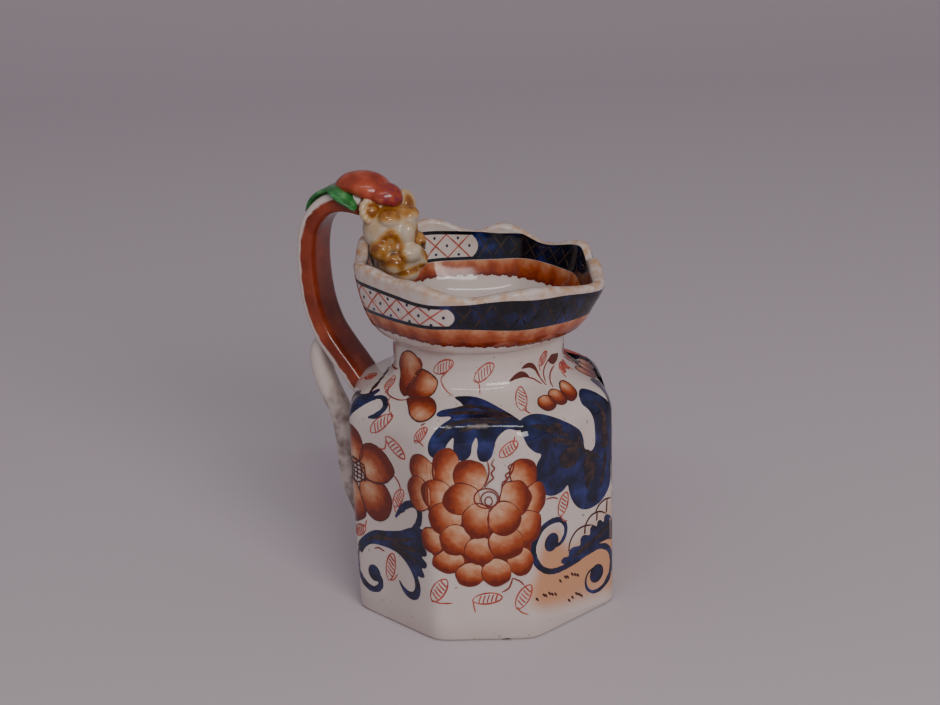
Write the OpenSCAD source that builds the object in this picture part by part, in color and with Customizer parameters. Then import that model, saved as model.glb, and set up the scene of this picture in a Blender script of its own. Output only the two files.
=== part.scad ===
// Octagonal porcelain cream jug with a wavy collar and a creature-headed handle.
// The origin is the middle of the foot on the table. +X points to the spout, -X to the handle,
// +Z is up, and the XZ plane halves the jug.
// As fired it is one piece. Each node is one of the clay parts it is put together from.

/* [Body] */
// Radius of the circle through the eight corners, at the foot
foot_r = 42.2; // [39:0.1:44]
// Radius of the same circle where the shoulder starts
wall_r = 42.6; // [41:0.1:45]
// Height where the upright wall starts to turn into the shoulder
wall_h = 64; // [56:0.1:72]
// Radius of the bend between the wall and the shoulder
shoulder_bend_r = 4; // [3:0.5:6]
// Slope of the shoulder above the level, in degrees
shoulder_slope = 28; // [24:1:34]
// Half the spread of the wide panels, in degrees
wide_panel_half = 24.5; // [22.5:0.1:25]
// Thickness of the wall
wall_t = 4.2; // [3:0.1:5.5]
// Thickness of the floor
floor_t = 4.5; // [3.5:0.1:6]
// Depth of the recess under the floor
foot_recess = 1.5; // [1:0.1:2.5]

/* [Neck and collar] */
// Outer radius of the neck
neck_r = 26.7; // [24:0.1:29]
// Height of the straight part of the neck
neck_h = 9.4; // [6:0.1:12]
// Radius of the circle through the corners of the collar, at the rim
rim_r = 39.3; // [38:0.1:41]
// Height of the collar from the neck to the handle side of the rim
collar_h = 26.4; // [25:0.1:30]
// Thickness of the collar's wall
collar_t = 3.6; // [2.8:0.1:4.4]
// Fall of the rim from the handle to the spout
rim_fall = 7.2; // [4:0.1:9]
// Lean of the rim towards the spout
rim_lean = 1.1; // [0:0.1:2]
// Depth of the dips between the rim's lobes
rim_dip = 2.7; // [1.5:0.1:3.5]
// Depth of the spout below the lobes beside it
spout_dip = 2.6; // [1.5:0.1:4]

/* [Handle] */
// Width of the handle's strap
strap_w = 14; // [11:0.5:16]
// Thickness of the handle's strap
strap_t = 5.2; // [4.2:0.1:5.6]
// Distance from the jug's axis to the middle of the upright part of the strap
strap_reach = 53.6; // [52:0.1:58]
// Radius of the arch at the top of the strap
arch_r = 12; // [11:0.5:13]
// Radius of the bend where the strap turns in to the shoulder
lower_bend_r = 28; // [24:1:32]
// How far the lower end leans in from upright, in degrees
lower_lean = 33; // [30:0.5:36]
// Radius of the tail that branches off the strap
tail_r = 2.6; // [2.2:0.1:3]

/* [Head] */
// Radius of the skull
skull_r = 9.2; // [8.6:0.1:10]
// Radius of the muzzle
muzzle_r = 7.6; // [6.6:0.1:8.2]
// Turn of the head away from the handle's plane, in degrees
head_turn = 28; // [0:1:30]
// Radius of the curled ears
ear_r = 3.6; // [3:0.1:4]
// Thickness of the large lobe of the crest
crest_t = 10; // [8:0.5:11]

/* [Hidden] */
$fn = 96;

// The octagon has a corner on the X axis at each end. Wide and narrow panels take turns.
corner_az = [0, 2 * wide_panel_half, 90, 90 + 2 * wide_panel_half, 180];
corner_keep = 0.985; // how much of a sharp corner's radius is left by its chamfer
reach = 2 * wall_r;
foot_round = 1.2;

// The outer profile is a list of [corner radius, height, squareness, lean].
// Squareness is 1 where the section is a full octagon and 0 where it is a circle.
// Lean moves the section towards the spout, and is 0 where it is left out.
bend_turn = 90 - shoulder_slope;
bend_end = [wall_r - shoulder_bend_r * (1 - cos(bend_turn)), wall_h + shoulder_bend_r * sin(bend_turn)];
neck_fillet_r = 4;
bend_steps = 4;
fillet_start_r = neck_r + neck_fillet_r * (1 - cos(bend_turn));
fillet_start_z = bend_end[1] + (bend_end[0] - fillet_start_r) * tan(shoulder_slope);
neck_z = fillet_start_z + neck_fillet_r * sin(bend_turn);
collar_z = neck_z + neck_h;
collar_top = collar_z + collar_h;
neck_square = 0.4;

wall_profile = concat(
    [[foot_r - foot_round, 0, 1], [foot_r, foot_round, 1]],
    [for (i = [0 : bend_steps])
        let (a = bend_turn * i / bend_steps)
        [wall_r - shoulder_bend_r * (1 - cos(a)), wall_h + shoulder_bend_r * sin(a), 1]],
    [for (i = [bend_steps : -1 : 0])
        let (a = bend_turn * i / bend_steps)
        [neck_r + neck_fillet_r * (1 - cos(a)), neck_z - neck_fillet_r * sin(a), neck_square]]);
neck_profile = [[neck_r, neck_z, neck_square], [neck_r, collar_z, neck_square]];
collar_profile = [for (a = [0 : 10 : 90])
    [neck_r + (rim_r - neck_r) * sin(a), collar_z + collar_h * (1 - cos(a)),
     neck_square + (1 - neck_square) * sin(a), rim_lean * sin(a)]];

function first_z(profile) = profile[0][1];
function last_z(profile) = profile[len(profile) - 1][1];
function lean(p) = len(p) > 3 ? p[3] : 0;

// Everything behind a plane that faces one azimuth and follows a profile.
// The half angle is a panel's half spread, which sets how far its middle lies inside the corners.
module behind(profile, az, half, keep) {
    rotate([0, 0, az])
        rotate([90, 0, 0])
            linear_extrude(height = 2 * reach, center = true)
                polygon(concat(
                    [[-reach, first_z(profile)]],
                    [for (p = profile)
                        [keep * p[0] * (1 - (1 - cos(half)) * p[2]) + lean(p) * cos(az), p[1]]],
                    [[-reach, last_z(profile)]]));
}

// The four panels on one side
module behind_panels(profile) {
    intersection_for(i = [0 : 3]) {
        half = (corner_az[i + 1] - corner_az[i]) / 2;
        behind(profile, corner_az[i] + half, half, 1);
    }
}

// Solid octagon that follows a profile, its corners chamfered unless keep is 0
module octagon(profile, keep = corner_keep) {
    intersection() {
        behind_panels(profile);
        mirror([0, 1, 0]) behind_panels(profile);
        if (keep > 0)
            intersection_for(az = concat(corner_az, -corner_az))
                behind(profile, az, 0, keep);
    }
}

module bore(profile, r) {
    translate([0, 0, first_z(profile) - 1])
        cylinder(h = last_z(profile) - first_z(profile) + 2, r = r);
}

// Inside of the body: an upright octagon under a funnel that leads up into the neck
cavity_r = foot_r - wall_t;
cavity_top_z = wall_h - 1;
funnel_r = cavity_r * cos(wide_panel_half) - 0.3;
neck_bore_r = neck_r - collar_t - 0.6;

module cavity_prism(from_z, height) {
    translate([0, 0, from_z])
        linear_extrude(height = height)
            polygon([for (az = concat(corner_az, [for (i = [3 : -1 : 1]) -corner_az[i]]))
                cavity_r * [cos(az), sin(az)]]);
}

module body_cavity() {
    cavity_prism(-1, cavity_top_z + 1);
    rotate_extrude()
        polygon([[0, cavity_top_z - 1], [funnel_r, cavity_top_z - 1], [funnel_r, cavity_top_z],
                 [neck_bore_r, fillet_start_z - wall_t], [neck_bore_r, neck_z + 1], [0, neck_z + 1]]);
}

module body_wall() {
    color("whitesmoke")
        difference() {
            octagon(wall_profile);
            body_cavity();
        }
}

// The floor slab, luted inside the foot of the wall
module base() {
    color("whitesmoke")
        cavity_prism(foot_recess, floor_t);
}

module neck() {
    color("whitesmoke")
        difference() {
            octagon(neck_profile);
            bore(neck_profile, neck_bore_r);
        }
}

// Azimuth of each dip between lobes, and of the spout, with depth and half the chord
dip_az = [74, 114, 159];
dip_half_chord = 11;
spout_half_chord = 18;
rim_mid_z = collar_top - rim_fall / 2;

function chord_r(half, depth) = (half * half + depth * depth) / (2 * depth);
function rim_z(az) = rim_mid_z - rim_fall / 2 * cos(az);

// A level cylinder that cuts one dip out of the rim
module rim_cut(az, depth, half) {
    r = chord_r(half, depth);
    rotate([0, 0, az])
        translate([0, 0, rim_z(az) - depth + r])
            rotate([0, 90, 0])
                cylinder(h = reach, r = r);
}

module collar_shell() {
    inner = [for (p = collar_profile) [p[0] - collar_t, p[1], p[2], lean(p)]];
    difference() {
        octagon(collar_profile);
        octagon(concat([[neck_bore_r, collar_z - 1, 0], [neck_bore_r, collar_z, 0]],
                       [for (i = [1 : len(inner) - 1]) inner[i]],
                       [[rim_r - collar_t, collar_top + 1, 1, rim_lean]]), 0);
    }
}

module collar() {
    color("midnightblue")
        difference() {
            collar_shell();
            translate([0, 0, rim_mid_z])
                rotate([0, atan(rim_fall / 2 / rim_r), 0])
                    translate([-reach, -reach, 0])
                        cube([2 * reach, 2 * reach, reach]);
            for (az = dip_az) {
                rim_cut(az, rim_dip, dip_half_chord);
                rim_cut(-az, rim_dip, dip_half_chord);
            }
            rim_cut(0, spout_dip, spout_half_chord);
        }
}

// Handle: section of the strap, its long side across the jug
edge_cut = 1.2;
bite = 0.05;
arch_top_z = collar_top + 10.4;
arch_z = arch_top_z - arch_r;
upright_end_z = collar_z + 12;
lower_bend_x = -strap_reach + lower_bend_r;
lower_start = [lower_bend_x - lower_bend_r * cos(lower_lean), upright_end_z - lower_bend_r * sin(lower_lean)];
strap_foot_in = 8.222; // how far inside the corner radius the strap's run would end
lower_len = (-wall_r + strap_foot_in - lower_start[0]) / sin(lower_lean);
head_x = -27.8;
head_z = collar_top + 2.2;

module strap_section() {
    a = strap_t / 2;
    b = strap_w / 2;
    polygon([[a, b - edge_cut], [a - edge_cut, b], [edge_cut - a, b], [-a, b - edge_cut],
             [-a, edge_cut - b], [edge_cut - a, -b], [a - edge_cut, -b], [a, edge_cut - b]]);
}

// An arc of a section in the XZ plane, round a centre, from one angle to another
module arc_sweep(x, z, r, from, turn) {
    translate([x, 0, z])
        rotate([90, 0, 0])
            rotate([0, 0, from])
                rotate_extrude(angle = turn)
                    translate([r, 0]) children();
}

// A straight run of a section, starting at a point and leaning by an angle from straight down.
// It starts a hair early, so that it always bites into the run before it.
module straight_sweep(x, z, lean, length) {
    translate([x, 0, z])
        rotate([0, 180 - lean, 0])
            translate([0, 0, -bite])
                linear_extrude(height = length + 2 * bite) children();
}

module strap_shape() {
    straight_sweep(-strap_reach + arch_r, arch_top_z, 90, strap_reach - arch_r + head_x) strap_section();
    arc_sweep(-strap_reach + arch_r, arch_z, arch_r, 90, 90) strap_section();
    straight_sweep(-strap_reach, arch_z, 0, arch_z - upright_end_z) strap_section();
    arc_sweep(lower_bend_x, upright_end_z, lower_bend_r, 180, lower_lean) strap_section();
    straight_sweep(lower_start[0], lower_start[1], lower_lean, lower_len) strap_section();
}

module handle_strap() {
    color("orangered")
        difference() {
            strap_shape();
            octagon(wall_profile);
            head_shape();
        }
}

// Tail: leaves the strap's back, swings out and comes down on the body's rear corner
tail_bulge_r = 8.2;
tail_centre = [-strap_reach + 6.8, upright_end_z - 28];
tail_from = 110;
tail_turn = 96;
tail_leave = tail_from + tail_turn;
tail_bend = [tail_centre[0] + tail_bulge_r * cos(tail_leave), tail_centre[1] + tail_bulge_r * sin(tail_leave)];
tail_low_x = -wall_r - 3.9;
tail_run = (tail_low_x - tail_bend[0]) / -sin(tail_leave);
tail_low_z = tail_bend[1] + tail_run * cos(tail_leave);
tail_mid = [-wall_r - 2.9, 33];
tail_tip = [-foot_r + 0.7, 19];

// The joints between runs are balls a hair larger than the runs they join
module rod(p, q) {
    d = q - p;
    translate([p[0], 0, p[1]])
        rotate([0, atan2(d[0], d[1]), 0])
            cylinder(h = norm(d), r = tail_r - bite);
}

module tail_joint(p) {
    translate([p[0], 0, p[1]]) sphere(r = tail_r + bite);
}

module tail_shape() {
    arc_sweep(tail_centre[0], tail_centre[1], tail_bulge_r, tail_from, tail_turn)
        circle(r = tail_r - bite);
    tail_joint(tail_bend);
    rod(tail_bend, [tail_low_x, tail_low_z]);
    tail_joint([tail_low_x, tail_low_z]);
    rod([tail_low_x, tail_low_z], tail_mid);
    tail_joint(tail_mid);
    rod(tail_mid, tail_tip);
    tail_joint(tail_tip);
}

module handle_tail() {
    color("ivory")
        difference() {
            tail_shape();
            strap_shape();
            octagon(wall_profile);
        }
}

// Head: skull on the rim, muzzle reaching down into the jug
muzzle_out = 4;
muzzle_drop = 8.2;
ear_side = 7.9;
ear_up = 7;

module head_frame() {
    translate([head_x, 0, head_z]) rotate([0, 0, -head_turn]) children();
}

module head_shape() {
    head_frame() {
        sphere(r = skull_r);
        translate([muzzle_out, 0, -muzzle_drop]) sphere(r = muzzle_r);
    }
}

module creature_head() {
    color("goldenrod")
        difference() {
            head_shape();
            collar();
        }
}

module ear(side) {
    color("goldenrod")
        difference() {
            head_frame()
                translate([-0.6, side * ear_side, ear_up])
                    difference() {
                        sphere(r = ear_r);
                        translate([ear_r * 0.9, side * ear_r * 0.5, ear_r * 0.5])
                            sphere(r = ear_r * 0.55);
                    }
            head_shape();
            strap_shape();
        }
}

module ear_left() { ear(1); }
module ear_right() { ear(-1); }

// A lens: what two equal balls share, flat across Y
module lens(radius, thickness) {
    ball = (radius * radius + thickness * thickness / 4) / thickness;
    intersection() {
        translate([0, ball - thickness / 2, 0]) sphere(r = ball, $fn = 240);
        translate([0, thickness / 2 - ball, 0]) sphere(r = ball, $fn = 240);
    }
}

crest_r = 10.5;
crest_front_r = 4.4;
crest_x = head_x - 7.2;
crest_front_x = crest_x + 8.4;

module crest_back_shape() {
    intersection() {
        translate([crest_x, 0, arch_top_z - 1.1]) lens(crest_r, crest_t);
        translate([-reach, -reach, arch_top_z]) cube(2 * reach);
    }
}

module crest_back() {
    color("orangered")
        difference() {
            crest_back_shape();
            strap_shape();
            head_shape();
            ear(1);
            ear(-1);
        }
}

module crest_front() {
    color("orangered")
        difference() {
            translate([crest_front_x, 0, arch_top_z + 2]) lens(crest_front_r, crest_t * 0.7);
            strap_shape();
            head_shape();
            crest_back_shape();
            ear(1);
            ear(-1);
        }
}

// Leaves: one along the back of the arch, one on each side below the crest
leaf_t = 1.2;
leaf_w = 9;
leaf_r = 4;
// Where the back leaf's arc would stop short of the crest, a flat run leads on to it
arch_start_x = -strap_reach + arch_r;
leaf_lap = 3.9;
leaf_run = crest_x - crest_r + leaf_lap - arch_start_x;

module leaf_back() {
    color("forestgreen")
        difference() {
            union() {
                arc_sweep(arch_start_x, arch_z, arch_r + strap_t / 2, 98, 60)
                    translate([0, -leaf_w / 2]) square([leaf_t, leaf_w]);
                if (leaf_run > bite)
                    translate([arch_start_x - 2.5, -leaf_w / 2, arch_top_z + strap_t / 2])
                        cube([leaf_run + 2.5, leaf_w, leaf_t]);
            }
            crest_back_shape();
        }
}

module side_leaf(side) {
    color("forestgreen")
        difference() {
            translate([crest_x - 4, side * (strap_w / 2 - 0.4), arch_top_z + strap_t / 2 + 0.2])
                lens(leaf_r, 2.4);
            strap_shape();
            head_shape();
            crest_back_shape();
            ear(side);
        }
}

module leaf_left() { side_leaf(1); }
module leaf_right() { side_leaf(-1); }

body_wall();
base();
neck();
collar();
handle_strap();
handle_tail();
creature_head();
ear_left();
ear_right();
crest_back();
crest_front();
leaf_back();
leaf_left();
leaf_right();
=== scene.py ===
"""A porcelain cream jug painted in cobalt, iron red and gilding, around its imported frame.

The jug stands on its foot at the origin. The spout points along +X and the handle along -X.
The painting is laid out flat in millimetres: u runs along the girth from the middle of the front
panel, to the right, and v runs up the outside from the foot.
"""
import math
import random

import bpy
from mathutils import Matrix, Vector, noise
from mathutils.geometry import delaunay_2d_cdt


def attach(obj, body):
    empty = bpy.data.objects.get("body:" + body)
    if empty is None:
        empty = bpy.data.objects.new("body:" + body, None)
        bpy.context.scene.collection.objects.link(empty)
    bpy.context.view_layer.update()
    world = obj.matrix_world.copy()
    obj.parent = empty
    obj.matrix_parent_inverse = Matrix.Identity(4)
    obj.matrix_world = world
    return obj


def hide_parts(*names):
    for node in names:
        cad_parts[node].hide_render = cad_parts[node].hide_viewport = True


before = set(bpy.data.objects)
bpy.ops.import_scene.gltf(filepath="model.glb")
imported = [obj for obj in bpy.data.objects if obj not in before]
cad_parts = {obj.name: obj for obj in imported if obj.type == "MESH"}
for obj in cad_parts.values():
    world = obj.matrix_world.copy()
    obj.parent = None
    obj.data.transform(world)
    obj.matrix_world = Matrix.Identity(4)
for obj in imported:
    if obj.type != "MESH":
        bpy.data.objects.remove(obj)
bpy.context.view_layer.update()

MM = 0.001

# ---------------------------------------------------------------- camera
# A standing viewer's look from the front left of the spout, a little above the rim.
VIEW_AZIMUTH = math.radians(22.1)
VIEW_ELEVATION = math.radians(18.3)
VIEW_ROLL = math.radians(2.05)
camera_data = bpy.data.cameras.new("camera")
camera_data.lens = 68.94
camera_data.sensor_width = 36
camera = bpy.data.objects.new("camera", camera_data)
bpy.context.scene.collection.objects.link(camera)
back = Vector((math.sin(VIEW_AZIMUTH) * math.cos(VIEW_ELEVATION),
               -math.cos(VIEW_AZIMUTH) * math.cos(VIEW_ELEVATION), math.sin(VIEW_ELEVATION)))
level_right = Vector((math.cos(VIEW_AZIMUTH), math.sin(VIEW_AZIMUTH), 0))
level_up = back.cross(level_right)
right = math.cos(VIEW_ROLL) * level_right - math.sin(VIEW_ROLL) * level_up
up = math.sin(VIEW_ROLL) * level_right + math.cos(VIEW_ROLL) * level_up
camera.matrix_world = (Matrix.Translation(Vector((194.4, -486.2, 251.2)) * MM)
                       @ Matrix((right, up, back)).transposed().to_4x4())
bpy.context.scene.camera = camera

# ---------------------------------------------------------------- body, neck and collar
# One slip-cast shell of hard porcelain: eight upright panels, a sloping shoulder, a nearly round
# neck and a flaring collar with a thick lobed lip. The panels' edges are softened by the glaze.
PANEL_CORNERS = (-180, -139, -90, -49, 0, 49, 90, 139, 180)
WALL_R = 42.6
NECK_R = 26.7
COLLAR_Z = 86.6
COLLAR_RISE = 26.4
COLLAR_SPREAD = 12.6
RIM_LEAN = 1.1
ROLL = 1.7
LIP_T = 3.8


def octagon_share(azimuth, crispness):
    """Radius of a soft octagon at an azimuth, as a share of its corner radius."""
    total = 0
    for start, end in zip(PANEL_CORNERS, PANEL_CORNERS[1:]):
        toward = math.cos(math.radians(azimuth - (start + end) / 2))
        if toward > 0.5:
            total += (toward / math.cos(math.radians((end - start) / 2))) ** crispness
    return total ** (-1 / crispness)


def outside_rows():
    """Profile of the body and neck: corner radius, height, squareness, crispness."""
    rows = [(40.6, 0, 1, 40), (41.6, 0.3, 1, 42), (42.2, 1.2, 1, 46)]
    rows += [(42.2 + 0.4 * z / 62, z, 1, 46) for z in range(8, 62, 9)]
    for turn in range(0, 65, 8):
        a = math.radians(turn)
        rows.append((WALL_R - 8.5 * (1 - math.cos(a)), 62.5 + 8.5 * math.sin(a), 1, 46 - 14 * turn / 64))
    fillet = 5.0
    last = math.radians(64)
    low_r = NECK_R + fillet * (1 - math.cos(last))
    low_z = rows[-1][1] + (rows[-1][0] - low_r) * math.tan(math.radians(26))
    start_r, start_z = rows[-1][:2]
    for share in (0.33, 0.67, 1):
        rows.append((start_r + (low_r - start_r) * share, start_z + (low_z - start_z) * share,
                     1 - 0.5 * share, 32))
    for turn in (52, 40, 28, 16, 0):
        a = math.radians(turn)
        rows.append((NECK_R + fillet * (1 - math.cos(a)),
                     low_z + fillet * (math.sin(last) - math.sin(a)), 0.4, 32))
    rows.append((NECK_R, (rows[-1][1] + COLLAR_Z) / 2, 0.4, 32))
    rows.append((NECK_R, COLLAR_Z, 0.4, 32))
    return rows


ROWS = outside_rows()
ROW_V = [-0.4]
for low, high in zip(ROWS, ROWS[1:]):
    ROW_V.append(ROW_V[-1] + math.dist(low[:2], high[:2]))


def smoothstep(low, high, value):
    t = min(max((value - low) / (high - low), 0), 1)
    return t * t * (3 - 2 * t)


def curve_value(points, x):
    """Smooth curve through (x, y) points, level beyond its ends."""
    if x <= points[0][0]:
        return points[0][1]
    if x >= points[-1][0]:
        return points[-1][1]
    i = max(k for k in range(len(points) - 1) if points[k][0] <= x)
    slopes = []
    for k in (i, i + 1):
        before, after = points[max(k - 1, 0)], points[min(k + 1, len(points) - 1)]
        slopes.append((after[1] - before[1]) / (after[0] - before[0]))
    (x0, y0), (x1, y1) = points[i], points[i + 1]
    t = (x - x0) / (x1 - x0)
    return ((2 * t ** 3 - 3 * t * t + 1) * y0 + (t ** 3 - 2 * t * t + t) * (x1 - x0) * slopes[0]
            + (3 * t * t - 2 * t ** 3) * y1 + (t ** 3 - t * t) * (x1 - x0) * slopes[1])


SHARES = {}


def share_at(azimuth, crispness):
    key = (round(azimuth, 2), round(crispness, 1))
    if key not in SHARES:
        SHARES[key] = octagon_share(*key)
    return SHARES[key]


def wall_at(azimuth, v, lift=0.0):
    """Point on the outside of the body or neck, v mm up the profile, lifted off the glaze."""
    v = min(max(v, ROW_V[0]), ROW_V[-1] - 1e-6)
    i = max(k for k in range(len(ROW_V) - 1) if ROW_V[k] <= v)
    t = (v - ROW_V[i]) / (ROW_V[i + 1] - ROW_V[i])
    radius, z, square, crisp = [a + (b - a) * t for a, b in zip(ROWS[i], ROWS[i + 1])]
    run = ROW_V[i + 1] - ROW_V[i]
    out = (ROWS[i + 1][1] - ROWS[i][1]) / run
    rise = (ROWS[i][0] - ROWS[i + 1][0]) / run
    r = radius * (1 - square * (1 - share_at(azimuth, crisp))) + lift * out
    # The shoulder sank a little in the kiln on the far side of the spout.
    sag = 2.4 * smoothstep(56, 68, v) * (1 - smoothstep(74, 86, v)) * smoothstep(12, 40, azimuth)
    sag *= 1 - smoothstep(75, 110, azimuth)
    a = math.radians(azimuth)
    return Vector((r * math.cos(a), r * math.sin(a), z + lift * rise - sag)) * MM


LIP_TOPS = ((-225, 112.2), (-200, 110), (-180, 112.9), (-160, 110.2), (-133, 111), (-116, 109.6),
            (-97, 109.6),
            (-74, 106.1), (-50, 107.9), (-35, 106.8), (-17, 104.6), (-2, 103.4), (10, 104.2), (24, 106.4),
            (38, 103.4), (51, 107.4), (75, 104.8), (99, 109.8), (114, 107.8), (136, 112.4), (160, 110),
            (180, 112.9), (200, 110.2), (225, 111))


def lip_top(azimuth):
    return curve_value(LIP_TOPS, azimuth)


def collar_at(azimuth, z, lift=0.0, inset=0.0):
    """Point on the collar at a height. An inset of the wall's thickness gives its inside."""
    a = math.radians(azimuth)
    cos_t = max(1 - (z - COLLAR_Z) / COLLAR_RISE, 0)
    sin_t = math.sqrt(1 - cos_t * cos_t)
    radius = NECK_R + COLLAR_SPREAD * sin_t
    square = 0.3 + 0.5 * sin_t ** 2
    r = radius * (1 - square * (1 - share_at(azimuth, 26 + 8 * sin_t)))
    flare = 0.3 + 1.2 * math.exp(-(azimuth / 16) ** 2)
    r += flare * smoothstep(-9, -1, z - lip_top(azimuth))
    length = math.hypot(COLLAR_RISE * sin_t, COLLAR_SPREAD * cos_t) + 1e-9
    out, rise = COLLAR_RISE * sin_t / length, -COLLAR_SPREAD * cos_t / length
    side = -1 if inset else 1
    r += side * lift * out - inset
    lean = RIM_LEAN * sin_t
    return Vector((r * math.cos(a) + lean, r * math.sin(a), z + side * lift * rise)) * MM


def level_point(azimuth, corner_r, z, square):
    r = corner_r * (1 - square * (1 - share_at(azimuth, 40)))
    a = math.radians(azimuth)
    return Vector((r * math.cos(a), r * math.sin(a), z)) * MM


def shell_column(azimuth):
    """One upright section of the shell: up the outside, over the lip and down the inside."""
    column = [wall_at(azimuth, v) for v in ROW_V[:-1]]
    roll_z = lip_top(azimuth) - ROLL
    top_turn = math.acos(1 - (roll_z - COLLAR_Z) / COLLAR_RISE)
    heights = [COLLAR_Z + COLLAR_RISE * (1 - math.cos(top_turn * i / 24)) for i in range(25)]
    column += [collar_at(azimuth, z) for z in heights]
    outer = column[-1]
    inner = collar_at(azimuth, roll_z, inset=LIP_T)
    middle = (outer + inner) / 2
    half = (outer - inner) / 2
    for i in range(1, 10):
        turn = math.pi * i / 10
        column.append(middle + half * (math.cos(turn) * (1 + 0.22 * math.sin(turn)))
                      + Vector((0, 0, ROLL * MM * math.sin(turn))))
    column += [collar_at(azimuth, z, inset=LIP_T) for z in reversed(heights[3:])]
    for corner_r, z, square in ((22.4, 85, 0.2), (22.2, 80, 0.1), (22.9, 76.5, 0.2), (25.5, 73.6, 0.4),
                                (30, 70.9, 0.7), (34.6, 67.8, 0.9), (37.3, 64.6, 1), (38.1, 60, 1),
                                (38.1, 45, 1), (38.1, 25, 1), (38, 9, 1), (37.9, 3, 1), (37.9, 0.8, 1),
                                (38.5, 0.1, 1)):
        column.append(level_point(azimuth, corner_r, z, square))
    return column


def deselect_all():
    for item in bpy.context.selected_objects:
        item.select_set(False)


def mesh_object(name, points, faces, smooth_angle=None):
    """A new mesh object at the origin from the given points and faces, smooth shaded."""
    mesh = bpy.data.meshes.new(name)
    mesh.from_pydata(points, [], faces)
    mesh.update()
    item = bpy.data.objects.new(name, mesh)
    bpy.context.scene.collection.objects.link(item)
    deselect_all()
    item.select_set(True)
    bpy.context.view_layer.objects.active = item
    if smooth_angle is None:
        bpy.ops.object.shade_smooth()
    else:
        bpy.ops.object.shade_smooth_by_angle(angle=math.radians(smooth_angle))
    return item


COLUMNS = 360
columns = [shell_column(azimuth) for azimuth in range(-180, 180)]
height = len(columns[0])
points = [point for column in columns for point in column]
faces = []
for c in range(COLUMNS):
    for r in range(height):
        ahead, above = (c + 1) % COLUMNS, (r + 1) % height
        faces.append((c * height + r, ahead * height + r, ahead * height + above, c * height + above))
jug_shell = mesh_object("jug_shell", points, faces)

# How much worn gilding each point carries: all along the lip, more on its outer edge.
gilt = jug_shell.data.attributes.new("gilt", "FLOAT", "POINT")
lip_row = len(ROW_V) - 1 + 25
for c in range(COLUMNS):
    for r in range(height):
        gilt.data[c * height + r].value = math.exp(-((r - lip_row - 3) / 5.5) ** 2)


# Hard porcelain under a clear feldspar glaze, fired white with a faint grey-lilac cast. The glaze
# lies in slow waves that bend the reflections.
def linear(hex_colour):
    """sRGB hex to a linear RGBA colour."""
    parts = [int(hex_colour[i:i + 2], 16) / 255 for i in (0, 2, 4)]
    return tuple(p / 12.92 if p <= 0.04045 else ((p + 0.055) / 1.055) ** 2.4 for p in parts) + (1.0,)


def add_node(tree, kind, inputs=None, **settings):
    """Adds a node with its settings. An input takes a value, or a socket to link from."""
    node = tree.nodes.new(kind)
    for name, value in settings.items():
        setattr(node, name, value)
    for name, value in (inputs or {}).items():
        if isinstance(value, bpy.types.NodeSocket):
            tree.links.new(value, node.inputs[name])
        else:
            node.inputs[name].default_value = value
    return node


def new_material(name, colour, roughness, ior=1.5, coat=0.0):
    """A material with one Principled shader. Returns the material, its tree and the shader."""
    material = bpy.data.materials.new(name)
    material.use_nodes = True
    tree = material.node_tree
    shader = tree.nodes["Principled BSDF"]
    shader.inputs["Base Color"].default_value = linear(colour)
    shader.inputs["Roughness"].default_value = roughness
    shader.inputs["IOR"].default_value = ior
    shader.inputs["Coat Weight"].default_value = coat
    shader.inputs["Coat Roughness"].default_value = 0.04
    return material, tree, shader


def ramp(tree, source, stops):
    """Colour ramp from a 0 to 1 socket through (place, hex colour) stops."""
    node = add_node(tree, "ShaderNodeValToRGB", {"Fac": source})
    elements = node.color_ramp.elements
    while len(elements) < len(stops):
        elements.new(0.5)
    for element, (place, colour) in zip(elements, stops):
        element.position = place
        element.color = linear(colour)
    return node.outputs["Color"]


def patches(tree, size_mm, detail=2.0, low=0.35, high=0.65):
    """Noise with patches of a real size in mm, stretched to run from 0 to 1."""
    coords = add_node(tree, "ShaderNodeTexCoord").outputs["Object"]
    cloud = add_node(tree, "ShaderNodeTexNoise",
                     {"Vector": coords, "Scale": 1 / (size_mm * MM), "Detail": detail})
    return add_node(tree, "ShaderNodeMapRange",
                    {"Value": cloud.outputs["Fac"], "From Min": low, "From Max": high}).outputs["Result"]


def mix(tree, factor, first, second):
    """Mix of two colours, each a socket or a hex value."""
    values = [value if isinstance(value, bpy.types.NodeSocket) else linear(value) for value in (first,
                                                                                                second)]
    node = add_node(tree, "ShaderNodeMix", data_type="RGBA")
    for name, value in (("Factor", factor), ("A", values[0]), ("B", values[1])):
        socket = next(s for s in node.inputs if s.name == name and (name == "Factor" or s.type == "RGBA")
                      and s.enabled)
        if isinstance(value, bpy.types.NodeSocket):
            tree.links.new(value, socket)
        else:
            socket.default_value = value
    return next(s for s in node.outputs if s.type == "RGBA")


def multiply(tree, first, second):
    return add_node(tree, "ShaderNodeMath", {0: first, 1: second}, operation="MULTIPLY").outputs[0]


def attribute(tree, name):
    return add_node(tree, "ShaderNodeAttribute", attribute_name=name).outputs["Fac"]


def glaze_waves(tree, shader, size_mm, depth_mm):
    """Slow waves in the glaze, as bump."""
    height_value = patches(tree, size_mm, 1.0, 0.2, 0.8)
    bump = add_node(tree, "ShaderNodeBump",
                    {"Height": height_value, "Strength": 1.0, "Distance": depth_mm * MM})
    tree.links.new(bump.outputs["Normal"], shader.inputs["Normal"])


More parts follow.
